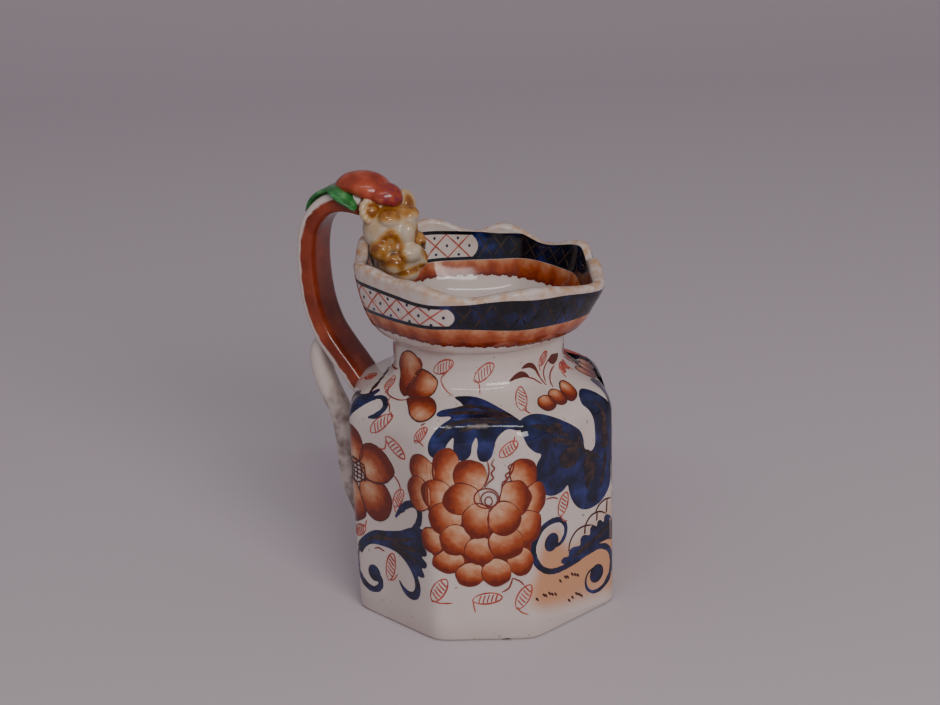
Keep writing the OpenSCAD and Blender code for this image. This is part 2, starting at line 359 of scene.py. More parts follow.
glaze, tree, shader = new_material("glazed_porcelain", "CDC0BA", 0.07, 1.52)
body_tone = mix(tree, patches(tree, 18), "C9BBB4", "D0C4BE")
worn = multiply(tree, attribute(tree, "gilt"), patches(tree, 3.2, 4.0, 0.38, 0.62))
body_tone = mix(tree, multiply(tree, worn, 0.9), body_tone, "B98C62")
specks = patches(tree, 1.1, 0.0, 0.81, 0.84)
body_tone = mix(tree, multiply(tree, specks, 0.6), body_tone, "6B5248")
tree.links.new(body_tone, shader.inputs["Base Color"])
glaze_waves(tree, shader, 9, 0.06)
jug_shell.data.materials.append(glaze)
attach(jug_shell, "root")
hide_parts("body_wall", "neck", "collar")

# ---------------------------------------------------------------- base
# The floor slab, luted into the foot. It is glazed like the body, so the frame's own piece stays.
for slot_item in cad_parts["base"].material_slots:
    slot_item.material = glaze

# ---------------------------------------------------------------- painting on the body
# Cobalt under the glaze, then iron red and orange enamels fired on top in a second firing. Each
# colour is a thin skin over the glaze, so a field of it is a closed shell a few hundredths thick.
SKIN = 0.1
CLEAR = 0.05
GIRTH_STEP = 0.5
girth_az = [-180 + GIRTH_STEP * i for i in range(int(360 / GIRTH_STEP) + 1)]
girth_u = [0.0]
for az0, az1 in zip(girth_az, girth_az[1:]):
    p0, p1 = [Vector((math.cos(math.radians(a)), math.sin(math.radians(a)))) * WALL_R * share_at(a, 46)
              for a in (az0, az1)]
    girth_u.append(girth_u[-1] + (p1 - p0).length)
FRONT_MIDDLE = girth_u[int((180 - 69.5) / GIRTH_STEP)]


def azimuth_of(u):
    """Azimuth of a distance along the girth from the middle of the front panel."""
    target = (u + FRONT_MIDDLE) % girth_u[-1]
    low, high = 0, len(girth_u) - 1
    while high - low > 1:
        mid = (low + high) // 2
        if girth_u[mid] <= target:
            low = mid
        else:
            high = mid
    t = (target - girth_u[low]) / (girth_u[high] - girth_u[low])
    return girth_az[low] + GIRTH_STEP * t


def on_wall(u, v, lift):
    return wall_at(azimuth_of(u), v, lift + CLEAR)


def new_layer():
    return {"points": [], "faces": [], "tone": []}


def rounded(outline, step=0.55, closed=True):
    """Points along a smooth curve through the outline's points."""
    count = len(outline)
    result = []
    spans = count if closed else count - 1
    for i in range(spans):
        if closed:
            p = [Vector(outline[(i + k) % count]) for k in (-1, 0, 1, 2)]
        else:
            p = [Vector(outline[min(max(i + k, 0), count - 1)]) for k in (-1, 0, 1, 2)]
        pieces = max(1, round((p[2] - p[1]).length / step))
        for j in range(pieces):
            t = j / pieces
            result.append(0.5 * (2 * p[1] + (p[2] - p[0]) * t
                                 + (2 * p[0] - 5 * p[1] + 4 * p[2] - p[3]) * t * t
                                 + (3 * p[1] - p[0] - 3 * p[2] + p[3]) * t ** 3))
    if not closed:
        result.append(Vector(outline[-1]))
    return result


def close_skin(layer, flat, triangles, lift, place, tones):
    """Adds one closed thin shell from flat points and counter-clockwise faces."""
    base = len(layer["points"])
    count = len(flat)
    layer["points"] += [place(p[0], p[1], lift) for p in flat]
    layer["points"] += [place(p[0], p[1], lift - SKIN - 0.04) for p in flat]
    layer["tone"] += tones + tones
    edges = {}
    for face in triangles:
        layer["faces"].append([base + i for i in face])
        layer["faces"].append([base + count + i for i in reversed(face)])
        for a, b in zip(face, face[1:] + face[:1]):
            edges[(a, b)] = True
    for a, b in edges:
        if (b, a) not in edges:
            layer["faces"].append([base + b, base + a, base + count + a, base + count + b])


def inside_outline(point, outline):
    crossed = False
    for a, b in zip(outline, outline[1:] + outline[:1]):
        if (a.y > point[1]) != (b.y > point[1]):
            if point[0] < a.x + (point[1] - a.y) / (b.y - a.y) * (b.x - a.x):
                crossed = not crossed
    return crossed


def add_field(layer, outline, lift, tone=None, place=on_wall, grid=1.1, smooth=True):
    """A filled field of colour. Tone is a function of u and v, from 0 to 1."""
    edge = rounded(outline) if smooth else [Vector(p) for p in outline]
    area = sum(a.x * b.y - b.x * a.y for a, b in zip(edge, edge[1:] + edge[:1]))
    if area < 0:
        edge.reverse()
    low_u, high_u = min(p.x for p in edge), max(p.x for p in edge)
    low_v, high_v = min(p.y for p in edge), max(p.y for p in edge)
    flat = list(edge)
    for i in range(1, int((high_u - low_u) / grid) + 1):
        for j in range(1, int((high_v - low_v) / grid) + 1):
            point = Vector((low_u + i * grid, low_v + j * grid))
            if inside_outline(point, edge):
                flat.append(point)
    loop = list(range(len(edge)))
    found, _, triangles, _, _, _ = delaunay_2d_cdt(flat, [], [loop], 1, 1e-5)
    triangles = [list(t) for t in triangles]
    tones = [tone(p[0], p[1]) if tone else 0.5 for p in found]
    close_skin(layer, found, triangles, lift, place, tones)


def add_stroke(layer, path, width, lift, place=on_wall, ends=(0.35, 0.35), tone=0.5, wobble=0.0):
    """A brush stroke along a path. It thins towards both ends by the shares in ends."""
    line = rounded(path, 0.5, closed=False)
    across = max(2, int(width / 0.8) + 2)
    flat, tones = [], []
    last = len(line) - 1
    for i, p in enumerate(line):
        along = (line[min(i + 1, last)] - line[max(i - 1, 0)]).normalized()
        side = Vector((-along.y, along.x))
        share = i / last
        thin = ends[0] + (1 - ends[0]) * smoothstep(0, 0.25, share)
        thin = min(thin, ends[1] + (1 - ends[1]) * smoothstep(0, 0.25, 1 - share))
        half = width / 2 * thin * (1 + wobble * noise.noise(Vector((p.x * 0.6, p.y * 0.6, width))))
        for k in range(across):
            flat.append(p + side * half * (1 - 2 * k / (across - 1)))
            tones.append(tone)
    quads = []
    for i in range(last):
        for k in range(across - 1):
            a = i * across + k
            quads.append([a + 1, a + 1 + across, a + across, a])
    close_skin(layer, flat, quads, lift, place, tones)


def finish_layer(name, layer, material, mirrored=True):
    """Makes a layer a piece. The far side repeats the near side's pattern, turned over."""
    points, faces, tones = list(layer["points"]), list(layer["faces"]), list(layer["tone"])
    if mirrored:
        base = len(points)
        points += [Vector((p.x, -p.y, p.z)) for p in layer["points"]]
        faces += [[base + i for i in reversed(face)] for face in layer["faces"]]
        tones += layer["tone"]
    piece = mesh_object(name, points, faces, smooth_angle=40)
    values = piece.data.attributes.new("tone", "FLOAT", "POINT")
    values.data.foreach_set("value", tones)
    piece.data.materials.append(material)
    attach(piece, "root")
    return piece


def ellipse(u, v, ru, rv, turn=0.0, count=14):
    c, s = math.cos(math.radians(turn)), math.sin(math.radians(turn))
    result = []
    for i in range(count):
        a = math.tau * i / count
        x, y = ru * math.cos(a), rv * math.sin(a)
        result.append((u + x * c - y * s, v + x * s + y * c))
    return result


def rim_tone(u, v, ru, rv, toward, strength=0.35):
    """Tone that is pale near the middle, shifted toward a point, and deep at the edge."""
    aim = Vector((toward[0] - u, toward[1] - v))
    aim = aim.normalized() * strength if aim.length > 0.01 else aim
    cu, cv = u + aim.x * ru, v + aim.y * rv

    def tone(x, y):
        d = math.hypot((x - cu) / ru, (y - cv) / rv)
        return min(max((d - 0.15) / 1.15, 0), 1)
    return tone


# Cobalt fields and scrolls, under the glaze.
cobalt_layer = new_layer()
COBALT_LIFT = 0.05
FROND = [(-9.5, 81), (-5, 81.5), (-1, 81), (2.5, 79.6), (6, 77.2), (9.5, 74.2), (11.8, 71.8), (13.2, 70),
         (13.2, 68), (11.5, 67.5), (9, 68), (6.8, 67), (5, 65), (4.2, 62.3), (3.4, 59.8), (1.8, 58.4),
         (0, 58.8), (-0.7, 61), (-0.4, 64), (-0.8, 65.8), (-2, 63.8), (-2.5, 61), (-3.6, 59.4),
         (-5.4, 58.9),
         (-7, 60), (-7.5, 62.6), (-7.4, 65.8), (-9, 64.4), (-10.2, 62), (-11.6, 60.3), (-13.4, 59.9),
         (-14.8, 61.4), (-14.7, 64.4), (-13.2, 67.6), (-11.2, 70), (-9, 71.9), (-9.6, 72.8), (-13, 72.7),
         (-14.2, 73.6), (-13.2, 75.2), (-10, 76.2), (-6.6, 76.4), (-5.4, 77), (-7, 79)]
LEAF = [(12.5, 70), (14.5, 71.4), (17.5, 71.9), (21, 71), (25, 68.9), (29, 66.4), (32.5, 64), (35.3, 61.6),
        (36.6, 58.8), (37, 56), (38.4, 54.2), (40.2, 53.8), (41.7, 55.2), (41.9, 58.5), (41.5, 62.5),
        (40.3, 66.5), (38.8, 69.2), (40, 71.8), (42.5, 74), (44.5, 74.4), (46.3, 72.8), (48, 69.5),
        (49.7, 66),
        (49.8, 60), (49.8, 53), (49.7, 50), (49.2, 46), (49, 42), (47.2, 38.6), (44, 36.2), (40, 35.4),
        (36.4, 36), (33.4, 38), (31.3, 41), (30.2, 44), (29.6, 46), (27.5, 44.9), (24.5, 44.5),
        (21.5, 45.2),
        (18.8, 47.2), (16.9, 50), (16.2, 53.3), (17, 56.6), (18.7, 58.9), (16.2, 60.5), (14, 62.8),
        (12.9, 65.5), (12.3, 67.8)]
ACANTHUS = [(-49.5, 22), (-46, 26), (-41, 29.4), (-35, 31), (-29, 32.8), (-24.5, 35), (-21, 36.2),
            (-18.3, 36),
            (-18.8, 34.2), (-17.4, 32), (-18.2, 30.7), (-17.2, 29.2), (-17.6, 27.8), (-19.4, 27.1),
            (-17.4, 25.4), (-18, 23.8), (-19.6, 23.3), (-18.6, 21), (-19.8, 20.2), (-21.6, 20), (-20.7, 17),
            (-21, 14.3), (-22.4, 12.2), (-25, 11.4), (-27.8, 12.3), (-29.7, 14.6), (-30.2, 16.2),
            (-28.4, 14.7), (-26, 13.8), (-24, 14.4), (-23, 16.3), (-23.4, 19), (-25.4, 22), (-28.4, 24.3),
            (-32, 25.4), (-37, 25.4), (-42, 24.6), (-45.5, 22.4), (-47.5, 20)]
FAN = [(26.2, 22.2), (27.3, 23.2), (29.5, 23), (29.8, 24.6), (31.8, 25.2), (34.6, 24.8), (34.9, 26.8),
       (36.4, 27.6), (39, 26.8), (39.3, 28.8), (40.6, 29.5), (42.2, 28.6), (42.6, 29.9), (43.8, 30.2),
       (45.3, 29), (45.8, 30.7), (47, 31), (49, 29.6), (49.8, 27), (49.8, 22), (47, 22.6), (42, 22.4),
       (37, 21), (32, 20.4), (28, 20.8)]
BACK_LEAF = [(-57, 62), (-52, 62.5), (-47.5, 66.5), (-43.5, 71), (-42.4, 72.6), (-44.8, 73.4), (-45, 76),
             (-46.6, 76.4), (-48.4, 73.2), (-51.5, 71.6), (-55.5, 71.4), (-59, 68)]
for outline in (FROND, LEAF, ACANTHUS, FAN, BACK_LEAF):
    add_field(cobalt_layer, outline, COBALT_LIFT)
SPIRALS = (
    # path from the eye outwards, width
    ([(23.2, 28.6), (26, 28.4), (28.2, 30.6), (28.3, 33.6), (26, 36), (22.2, 36.6), (18.5, 35.6),
      (15.9, 32.8),
      (15, 29.4), (15.8, 25.8), (17.8, 23), (20.8, 21), (24.2, 20.1), (28.5, 20), (33, 20.4), (38, 21.2),
      (43, 21.6), (47, 19.9), (49, 16.6), (49, 12.4), (46.8, 8.8), (43.4, 7.1), (40, 7.4), (37.6, 9.4),
      (37, 12.2), (38.2, 14.4), (40.4, 15.2)], 1.9),
    ([(-40, 12.2), (-39, 14), (-39.2, 11.4), (-41.5, 9.5), (-44.6, 9.2), (-47.8, 10.8), (-49.9, 13.8),
      (-50.4, 17.4), (-49, 21)], 2.2),
    ([(-23, 34.8), (-20.4, 37.4), (-19.4, 40.6), (-20.2, 43), (-22.6, 43.3), (-25.6, 41.9), (-28.4, 39.3),
      (-30.3, 36.9)], 2.3),
    ([(-44.5, 72.6), (-41.2, 73.8), (-38.2, 72.9), (-36.2, 70.5), (-37.6, 67.6), (-41, 66)], 2.0),
)
for path, width in SPIRALS:
    add_stroke(cobalt_layer, path, width, COBALT_LIFT, ends=(0.7, 0.35), wobble=0.25)
for u, v, r in ((22.3, 30, 3), (42, 12.9, 3.1), (-41.8, 14.9, 2.8)):
    add_field(cobalt_layer, ellipse(u, v, r, r * 0.97), COBALT_LIFT + 0.006)

# Brown and black glazing over the cobalt, as veins and blotches.
vein_layer = new_layer()
VEIN_LIFT = 0.085
for u, v, ru, rv, turn in ((30.4, 54.6, 4.2, 3.3, -8), (39.3, 49, 2.4, 4.8, 4), (46, 56, 1.6, 3.2, 0),
                           (25.6, 65.6, 2.6, 1.1, -18)):
    add_field(vein_layer, ellipse(u, v, ru, rv, turn, 18), VEIN_LIFT)
VEINS = ([(-61, 83), (-56, 81.4), (-51, 78), (-47.6, 73.4)],
         [(-9, 76.2), (-3, 77), (3, 75.6), (9, 72.6), (12.4, 70.2)],
         [(-10.5, 73.8), (-4, 74.4), (3, 73.4), (9, 71)],
         [(-12.4, 66), (-8.5, 69.6), (-3, 71), (4, 70.6), (10, 70)], [(-6, 67.6), (-1.6, 69), (4, 69)],
         [(16, 68.5), (21, 66.4), (26, 64), (31, 61)], [(22, 62.6), (27, 61), (32, 58.6), (36.6, 55.6)],
         [(34, 60.6), (36, 56), (39, 53)], [(37, 55), (40.6, 52.6), (44, 50.4)],
         [(44, 69), (45.6, 63), (45.6, 56)],
         [(37.4, 51.4), (38, 46), (38.6, 41.6)], [(46.6, 52), (45.4, 46), (44, 41)],
         [(-45, 25.2), (-38, 28), (-30, 29.4), (-22, 32.4)], [(-34, 27), (-27, 28), (-20.4, 28.6)],
         [(-31, 26), (-25.6, 25.6), (-20.6, 25)], [(31, 21.8), (37, 23.4), (43, 25.2), (48, 27.4)])
for path in VEINS:
    add_stroke(vein_layer, path, 1.5, VEIN_LIFT, ends=(0.2, 0.2), wobble=0.7)

# Petals of the chrysanthemum, the bud, the berries and the open flower, in orange wash.
orange_layer = new_layer()
line_layer = new_layer()
EYE = (2, 47)
PETALS = ((-18, 55.4, 4.4, 4.6), (-9.8, 56, 3.9, 6.6), (-3, 54, 4.5, 5), (12.6, 54.4, 4.1, 4.3),
          (16.2, 46.2, 3.9, 4.9), (-19.3, 47.6, 4.4, 5), (-13.4, 48.6, 4.5, 4.4), (-15, 33.7, 3.9, 4),
          (13.8, 37.6, 4.2, 4.8), (-10.2, 27, 4.5, 3.5), (11, 26.6, 3.7, 4.4), (-10.6, 40.9, 4.8, 4.9),
          (-4, 22.8, 4.1, 3.7), (3.8, 23.2, 4.3, 4.2), (-5.6, 46.8, 5.2, 4.7), (10, 47, 4.4, 5.2),
          (-7.9, 33.9, 4.3, 4.8), (-0.9, 30.2, 4.2, 4.3), (6.9, 32.6, 5, 4.9), (-1.2, 39.8, 4.2, 5.4),
          (6.6, 40.4, 4.5, 5.1))
UNDER_PETALS = [(-19, 46), (-21, 52), (-17, 57), (-10, 59), (-3, 56), (-2.6, 46), (2, 42), (6.6, 45),
                (9, 53), (13, 56),
                (17, 50), (16.6, 40), (12.6, 27), (4, 21.4), (-4, 21), (-12, 26), (-17, 33), (-13.4, 40)]


def petal_outline(u, v, ru, rv, seed):
    """A slightly uneven oval, as a loaded brush leaves it."""
    rng = random.Random(seed)
    return [(u + (x - u) * k, v + (y - v) * k)
            for (x, y), k in ((spot, rng.uniform(0.97, 1.09)) for spot in ellipse(u, v, ru, rv, 0, 11))]


def outward_tone(u, v, ru, rv):
    """Pale at the side near the flower's eye, deep at the rim away from it."""
    out = (Vector((u, v)) - Vector(EYE)).normalized()

    def tone(x, y):
        across = Vector(((x - u) / ru, (y - v) / rv))
        return min(max(0.36 + 0.62 * across.dot(out) + 0.3 * (across.length - 0.55), 0), 1)
    return tone


add_field(orange_layer, UNDER_PETALS, 0.04, lambda u, v: 0.8)
lift = 0.05
for index, (u, v, ru, rv) in enumerate(PETALS):
    lift += 0.012
    outline = petal_outline(u, v, ru * 1.02, rv * 1.02, index)
    add_field(orange_layer, outline, lift, outward_tone(u, v, ru, rv))
    add_stroke(line_layer, outline + outline[:1], 0.32, lift + 0.008, ends=(0.3, 0.3), tone=0.72,
               wobble=0.8)
BLOOMS = (
    # outline, point that the pale part faces
    ([(-46, 87.5), (-43.4, 90.8), (-38.6, 92.7), (-34, 92.7), (-31, 91.2), (-29, 88.6), (-32, 85.4),
      (-33.6, 82),
      (-31.6, 77.8), (-35, 78.6), (-39, 81.2), (-43, 84.6)], (-36, 90)),
    ([(-34.3, 84.2), (-32.6, 86.8), (-29.4, 88.3), (-25.6, 88.1), (-22, 87.1), (-19.5, 85.6), (-19.6, 82.6),
      (-21, 80), (-24.4, 78.8), (-28, 77.9), (-31.5, 78.4), (-33.9, 81)], (-22, 86)),
    ([(-30, 76.8), (-26, 78), (-22.4, 79.4), (-19, 79.3), (-16.2, 77.4), (-15, 74.6), (-16, 71.6),
      (-18.6, 70),
      (-21.8, 69.9), (-24.8, 71.3), (-27.4, 74)], (-20, 70)),
    ([(-45, 53.5), (-43.4, 56.6), (-39.8, 58), (-35.6, 57.2), (-32.2, 55), (-30, 52), (-31.2, 49.2),
      (-34.4, 46.8),
      (-38.4, 45.8), (-42.2, 45.9), (-44.4, 47.8), (-45.6, 50.8)], (-44, 46)),
    ([(-45.6, 44.4), (-42.6, 45.5), (-38.8, 45.5), (-35, 45.9), (-32.6, 43.8), (-31.8, 40.6), (-33.4, 36.6),
      (-36.4, 34), (-39.8, 33.3), (-43, 34.6), (-45.2, 38), (-46.2, 41.6)], (-45, 46)),
    ([(-52.4, 43.4), (-48.6, 43.9), (-46.4, 41), (-44.4, 36.4), (-44.6, 33), (-48.4, 30.6), (-52.6, 29.6),
      (-56, 31.6), (-57.4, 36), (-56, 40.6)], (-48, 46)),
    (ellipse(-49.2, 55.6, 5.6, 6), (-48, 47)),
    (ellipse(-58, 48.6, 5, 5.8), (-50, 47)),
    ([(22.3, 74.4), (23.6, 76.6), (26.4, 77.4), (29, 76.7), (29.7, 74.2), (29, 72), (26, 71), (23.6, 71.8)],
     (26, 80)),
    ([(34.8, 74.6), (36.4, 78), (38.9, 80.2), (41.2, 80.3), (42.1, 78.4), (41.6, 75.4), (40, 73),
      (37.6, 71.6),
      (35.4, 71.8)], (40, 84)),
    (ellipse(32.1, 75, 3.4, 3.7), (32, 82)),
)
for index, (outline, toward) in enumerate(BLOOMS):
    mean_u = sum(p[0] for p in outline) / len(outline)
    mean_v = sum(p[1] for p in outline) / len(outline)
    ru = (max(p[0] for p in outline) - min(p[0] for p in outline)) / 2
    rv = (max(p[1] for p in outline) - min(p[1] for p in outline)) / 2
    lift = 0.05 + 0.01 * (index % 3)
    add_field(orange_layer, outline, lift, rim_tone(mean_u, mean_v, ru, rv, toward, 0.55))
    add_stroke(line_layer, outline + outline[:2], 0.5, lift + 0.02, ends=(0.6, 0.6), tone=0.85, wobble=0.5)

# Red-brown outlines, the flower's hatched heart, the eye and the toothed gaps above it.
for outline, width in ((ellipse(1.6, 47, 3.6, 3.1), 0.4), (ellipse(2.4, 46.7, 2.4, 2.4), 0.36),
                       (ellipse(2.2, 46.1, 1.1, 1.4), 0.34)):
    add_stroke(line_layer, outline + outline[:2], width, 0.36, ends=(0.7, 0.7), tone=0.6)
for path in ([(2.2, 58.8), (2.6, 56), (2.2, 53.4), (1, 50.5)],
             [(4.2, 59.4), (3.4, 57.6), (4.2, 56.4), (3.2, 54.8), (3.8, 53.4), (2.4, 52), (1.2, 50.4)],
             [(9.8, 58), (8.2, 56.8), (8.7, 55.4), (7.3, 54.2), (7.7, 52.9), (6.4, 51.8), (6, 49.8)],
             [(9.8, 58), (9.4, 55.6), (8, 53.2), (6.4, 50.6)],
             [(2.2, 44), (1.9, 38), (1.8, 33), (2.8, 29.4)]):
    add_stroke(line_layer, path, 0.4, 0.35, tone=0.6)
for k in range(6):
    add_stroke(line_layer, [(-53 + 1.9 * k, 44.4), (-52.6 + 1.9 * k, 47.4), (-53 + 1.9 * k, 50.6)], 0.4,
               0.13, tone=0.9)
for k in range(5):
    add_stroke(line_layer, [(-53.4, 45 + 1.35 * k), (-48, 45.4 + 1.4 * k), (-43.6, 45 + 1.3 * k)], 0.4,
               0.14, tone=0.9)
heart = ellipse(-48.6, 47.5, 5.4, 3.9)
add_stroke(line_layer, heart + heart[:2], 0.5, 0.15, tone=0.9)
for path, width in (([(-30, 76.2), (-33, 75.1), (-37, 75.2), (-40.4, 76.2), (-43, 79)], 0.5),
                    ([(-37.6, 74.8), (-37, 73), (-34.6, 71.4), (-33, 69.4)], 0.4),
                    ([(-58, 85), (-52, 85.1), (-47, 85.6)], 0.6),
                    ([(-31.4, 91.6), (-29.6, 91), (-28.4, 89.4)], 0.8),
                    ([(-17, 69.8), (-18.4, 68.8)], 0.4), ([(-30, 50.4), (-28, 48.6), (-27.4, 46.8)], 0.4),
                    ([(17, 75), (16.4, 73.6), (17.4, 72.2)], 0.4),
                    ([(8.6, 21.2), (7.4, 18), (5.2, 16.6)], 0.45),
                    ([(8.6, 21.2), (10.8, 20), (12, 18.6)], 0.45),
                    ([(20.4, 44.4), (23.4, 44), (25.6, 42.8)], 0.4),
                    ([(-36.4, 23.8), (-39, 24.2), (-41, 23.4)], 0.45),
                    ([(33.8, 79.4), (35.4, 82.6), (38.6, 85), (42.6, 86.4)], 0.5),
                    ([(32.6, 82.6), (34.6, 86.4), (38, 89)], 0.5),
                    ([(31.8, 81.2), (31, 84.6), (29.4, 87)], 0.5),
                    ([(30.2, 82.4), (27.6, 84.6), (24.6, 85.6)], 0.5)):
    add_stroke(line_layer, path, width, 0.1, ends=(0.5, 0.3), tone=0.55)
# Solid dark red leaf blades above the berries.
for outline in ([(14, 85.6), (17.4, 87.4), (21, 88), (24, 87), (25.4, 85.4), (22, 86), (18, 86)],
                [(21.4, 88.8), (24.6, 90), (28, 89.4), (30.4, 87.2), (31.4, 84.4), (29.4, 86.8),
                 (26, 88.4)],
                [(38, 88.6), (40.4, 90), (43.4, 89.8), (46, 89.4), (45, 87.6), (42, 86.8), (40, 87.2)]):
    add_field(line_layer, outline, 0.09, lambda u, v: 0.8)
# Short ticks scattered on the peach ground.
for u, v in ((15.9, 13.4), (18.6, 13.9), (19.5, 13.4), (21, 13.6), (22.2, 12.9), (23.6, 12.4), (25.8, 16),
             (28, 16.5), (29, 16.2), (31, 16.4), (32.3, 15.8), (33.5, 15.2), (29.5, 8.2), (31, 8.7),
             (32.8, 9.3), (34, 8.6), (35, 7.8)):
    add_stroke(line_layer, [(u - 0.5, v + 0.7), (u + 0.1, v), (u + 0.5, v - 0.6)], 0.7, 0.12, tone=1.0)
for path in ([(29.6, 24.6), (30.4, 27.6), (33, 30), (36.6, 30.5), (40.4, 29.6)],
             [(36.6, 28), (37.4, 31), (40, 33), (43.6, 33), (46.4, 31.4)],
             [(41.6, 33.2), (43.2, 35.2), (46, 36.2), (49, 35.8)], [(36.8, 27.8), (37, 30.4)],
             [(42.2, 30.4), (42.4, 33)], [(46.6, 31.6), (47, 35.8)]):
    add_stroke(line_layer, path, 0.6, 0.11, ends=(0.7, 0.5), tone=0.95)

# Small outlined leaves with hatching, scattered in the white.
sprig_layer = new_layer()
SPRIGS = (
    # middle, length, width, turn, then the stalk
    ((-16.5, 90.4), 11.5, 4, 18, [(-12, 92), (-13, 90), (-17.4, 87), (-16, 84.6), (-10.4, 81.4)]),
    ((2.7, 88.9), 10.4, 4.4, 28, [(-1.4, 86.8), (0.4, 85.4), (0.7, 82)]),
    ((17, 78.8), 10.4, 5, 62, [(15.4, 74.6), (16.4, 73.4), (17.4, 72.2)]),
    ((8.4, 62), 7, 3.4, 42, [(9.8, 63.4), (10.4, 65.8)]),
    ((-35.4, 65.4), 11, 4, 40, [(-31.6, 68.4), (-32.6, 70)]),
    ((-18, 66), 6.6, 3, 50, [(-20, 64), (-18.4, 64.2), (-16.4, 63)]),
    ((-28.8, 59.6), 9.4, 4, -30, [(-32.6, 61.4), (-33.6, 58), (-36.6, 57.6)]),
    ((-28.6, 43.4), 8, 3.6, 55, [(-30.6, 40.6), (-30.2, 38.4)]),
    ((-45, 80.4), 7.6, 3.6, -50, [(-42.6, 77.2), (-41, 75.8)]),
    ((27.6, 40.4), 7.6, 4.2, 68, [(26.4, 37.4), (27.4, 35.4), (29.4, 34.6)]),
    ((11.7, 14.8), 8.8, 4, 62, [(9.8, 11.6), (10.8, 10), (13, 9)]),
    ((0.8, 14.6), 9, 3.8, 6, [(-3.4, 13.8), (-3.2, 12), (-2.8, 10.2)]),
    ((-13.6, 17.4), 9, 4.4, 58, [(-15.8, 14), (-13.2, 13.4), (-9.6, 13.4)]),
    ((-33.8, 19.4), 10, 4.2, 74, [(-34.6, 14.8), (-32.6, 15.6), (-30.8, 18)]),
    ((-48, 27.4), 7.6, 3.6, 30, [(-45, 29), (-44, 32)]),
    ((34.4, 89.8), 6.4, 3, 30, [(31.8, 88.4), (32.2, 86.4)]),
    ((47.4, 84.4), 5.4, 3.4, 25, [(45, 83.4), (44.6, 81)]),
    ((-62, 56), 8, 3.8, 60, [(-63.6, 52.6), (-62.6, 50.4)]),
    ((-60, 27), 8.4, 3.8, 50, [(-62.4, 24), (-61.6, 21.6)]),
    ((-64, 75), 9, 4, 30, [(-67, 73), (-67.4, 70)]),
    ((-58, 90), 9, 4, 20, [(-61, 88.6), (-62, 86)]),
)


def add_sprig(middle, length, width, turn, stalk):
    c, s = math.cos(math.radians(turn)), math.sin(math.radians(turn))

    def spot(along, side):
        x, y = along * length, side * width
        return (middle[0] + x * c - y * s, middle[1] + x * s + y * c)
    outline = [spot(-0.5, 0), spot(-0.36, 0.3), spot(-0.1, 0.46), spot(0.2, 0.44), spot(0.42, 0.24),
               spot(0.5, -0.05),
               spot(0.36, -0.3), spot(0.08, -0.44), spot(-0.24, -0.38), spot(-0.44, -0.16)]
    add_stroke(sprig_layer, outline + outline[:1], 0.42, 0.07, ends=(0.6, 0.6), wobble=0.6)
    for k in range(5):
        a = -0.3 + 0.14 * k
        add_stroke(sprig_layer, [spot(a, -0.34), spot(a + 0.05, 0), spot(a + 0.12, 0.3)], 0.42, 0.08,
                   ends=(0.4, 0.7), wobble=0.4)
    add_stroke(sprig_layer, stalk, 0.4, 0.09, ends=(0.8, 0.3))


for sprig in SPRIGS:
    add_sprig(*sprig)

# Soft peach ground that fades out at its edges, under the right-hand scroll.
peach_layer = new_layer()
PEACH = [(10.8, 17), (13, 23), (14.6, 29), (18.4, 34.6), (22, 36), (26, 35.6), (28.4, 33), (30.5, 29.4),
         (34, 31), (40, 34), (45, 36.6), (49.8, 37.4), (49.8, 3), (44, 2.4), (34, 3.4), (24, 5),
         (15.6, 7.6),
         (11.6, 11.6)]
peach_edge = rounded(PEACH, 1.0)


def peach_tone(u, v):
    away = min((Vector((u, v)) - p).length for p in peach_edge if p.x < 49.5)
    upper = 1 - 0.6 * smoothstep(20, 30, v) * smoothstep(28, 32, u)
    return smoothstep(0, 6, away) * (1 if v > 12 else 0.5 + 0.5 * (v / 12)) * upper


add_field(peach_layer, PEACH, 0.035, peach_tone, grid=0.9)

# Cobalt: underglaze blue, near black where it pooled, with umber brushed over it.
cobalt, tree, shader = new_material("underglaze_cobalt", "1C2450", 0.07, 1.52)
pooled = ramp(tree, patches(tree, 5.5, 3.0, 0.3, 0.7),
              ((0.0, "0C0D1A"), (0.4, "14183A"), (0.75, "1E2757"), (1.0, "2B3570")))
tree.links.new(pooled, shader.inputs["Base Color"])
glaze_waves(tree, shader, 9, 0.06)
umber, tree, shader = new_material("umber_overglaze", "3A2424", 0.16, 1.5)
tree.links.new(ramp(tree, patches(tree, 2.4, 3.0, 0.3, 0.7),
                    ((0.0, "15121F"), (0.5, "2E2125"), (1.0, "4A322A"))),
               shader.inputs["Base Color"])
# Iron-red enamel in a thin orange wash: pale where the brush ran dry, deep where it pooled.
orange, tree, shader = new_material("iron_red_wash", "C2602C", 0.13, 1.5)
brushed = add_node(tree, "ShaderNodeMath", {0: attribute(tree, "tone"), 1: 0.0}, operation="ADD")
streaks = multiply(tree, patches(tree, 2.0, 3.0, 0.3, 0.7), 0.22)
tree.links.new(streaks, brushed.inputs[1])
tree.links.new(ramp(tree, brushed.outputs[0],
                    ((0.0, "D6AE92"), (0.25, "C38560"), (0.6, "A24A22"), (0.85, "86300F"),
                                                (1.0, "6A200C"))), shader.inputs["Base Color"])
glaze_waves(tree, shader, 9, 0.06)
outline_red, tree, shader = new_material("outline_enamel", "6A241A", 0.2, 1.5)
tree.links.new(ramp(tree, attribute(tree, "tone"),
                    ((0.0, "B0463A"), (0.5, "8A3226"), (0.8, "5A2218"), (1.0, "3E1A14"))),
               shader.inputs["Base Color"])
sprig_red, tree, shader = new_material("sprig_enamel", "A8453A", 0.22, 1.5)
tree.links.new(mix(tree, patches(tree, 2.6, 2.0), "B85A4C", "98352A"), shader.inputs["Base Color"])
peach, tree, shader = new_material("peach_ground", "D8A284", 0.09, 1.52)
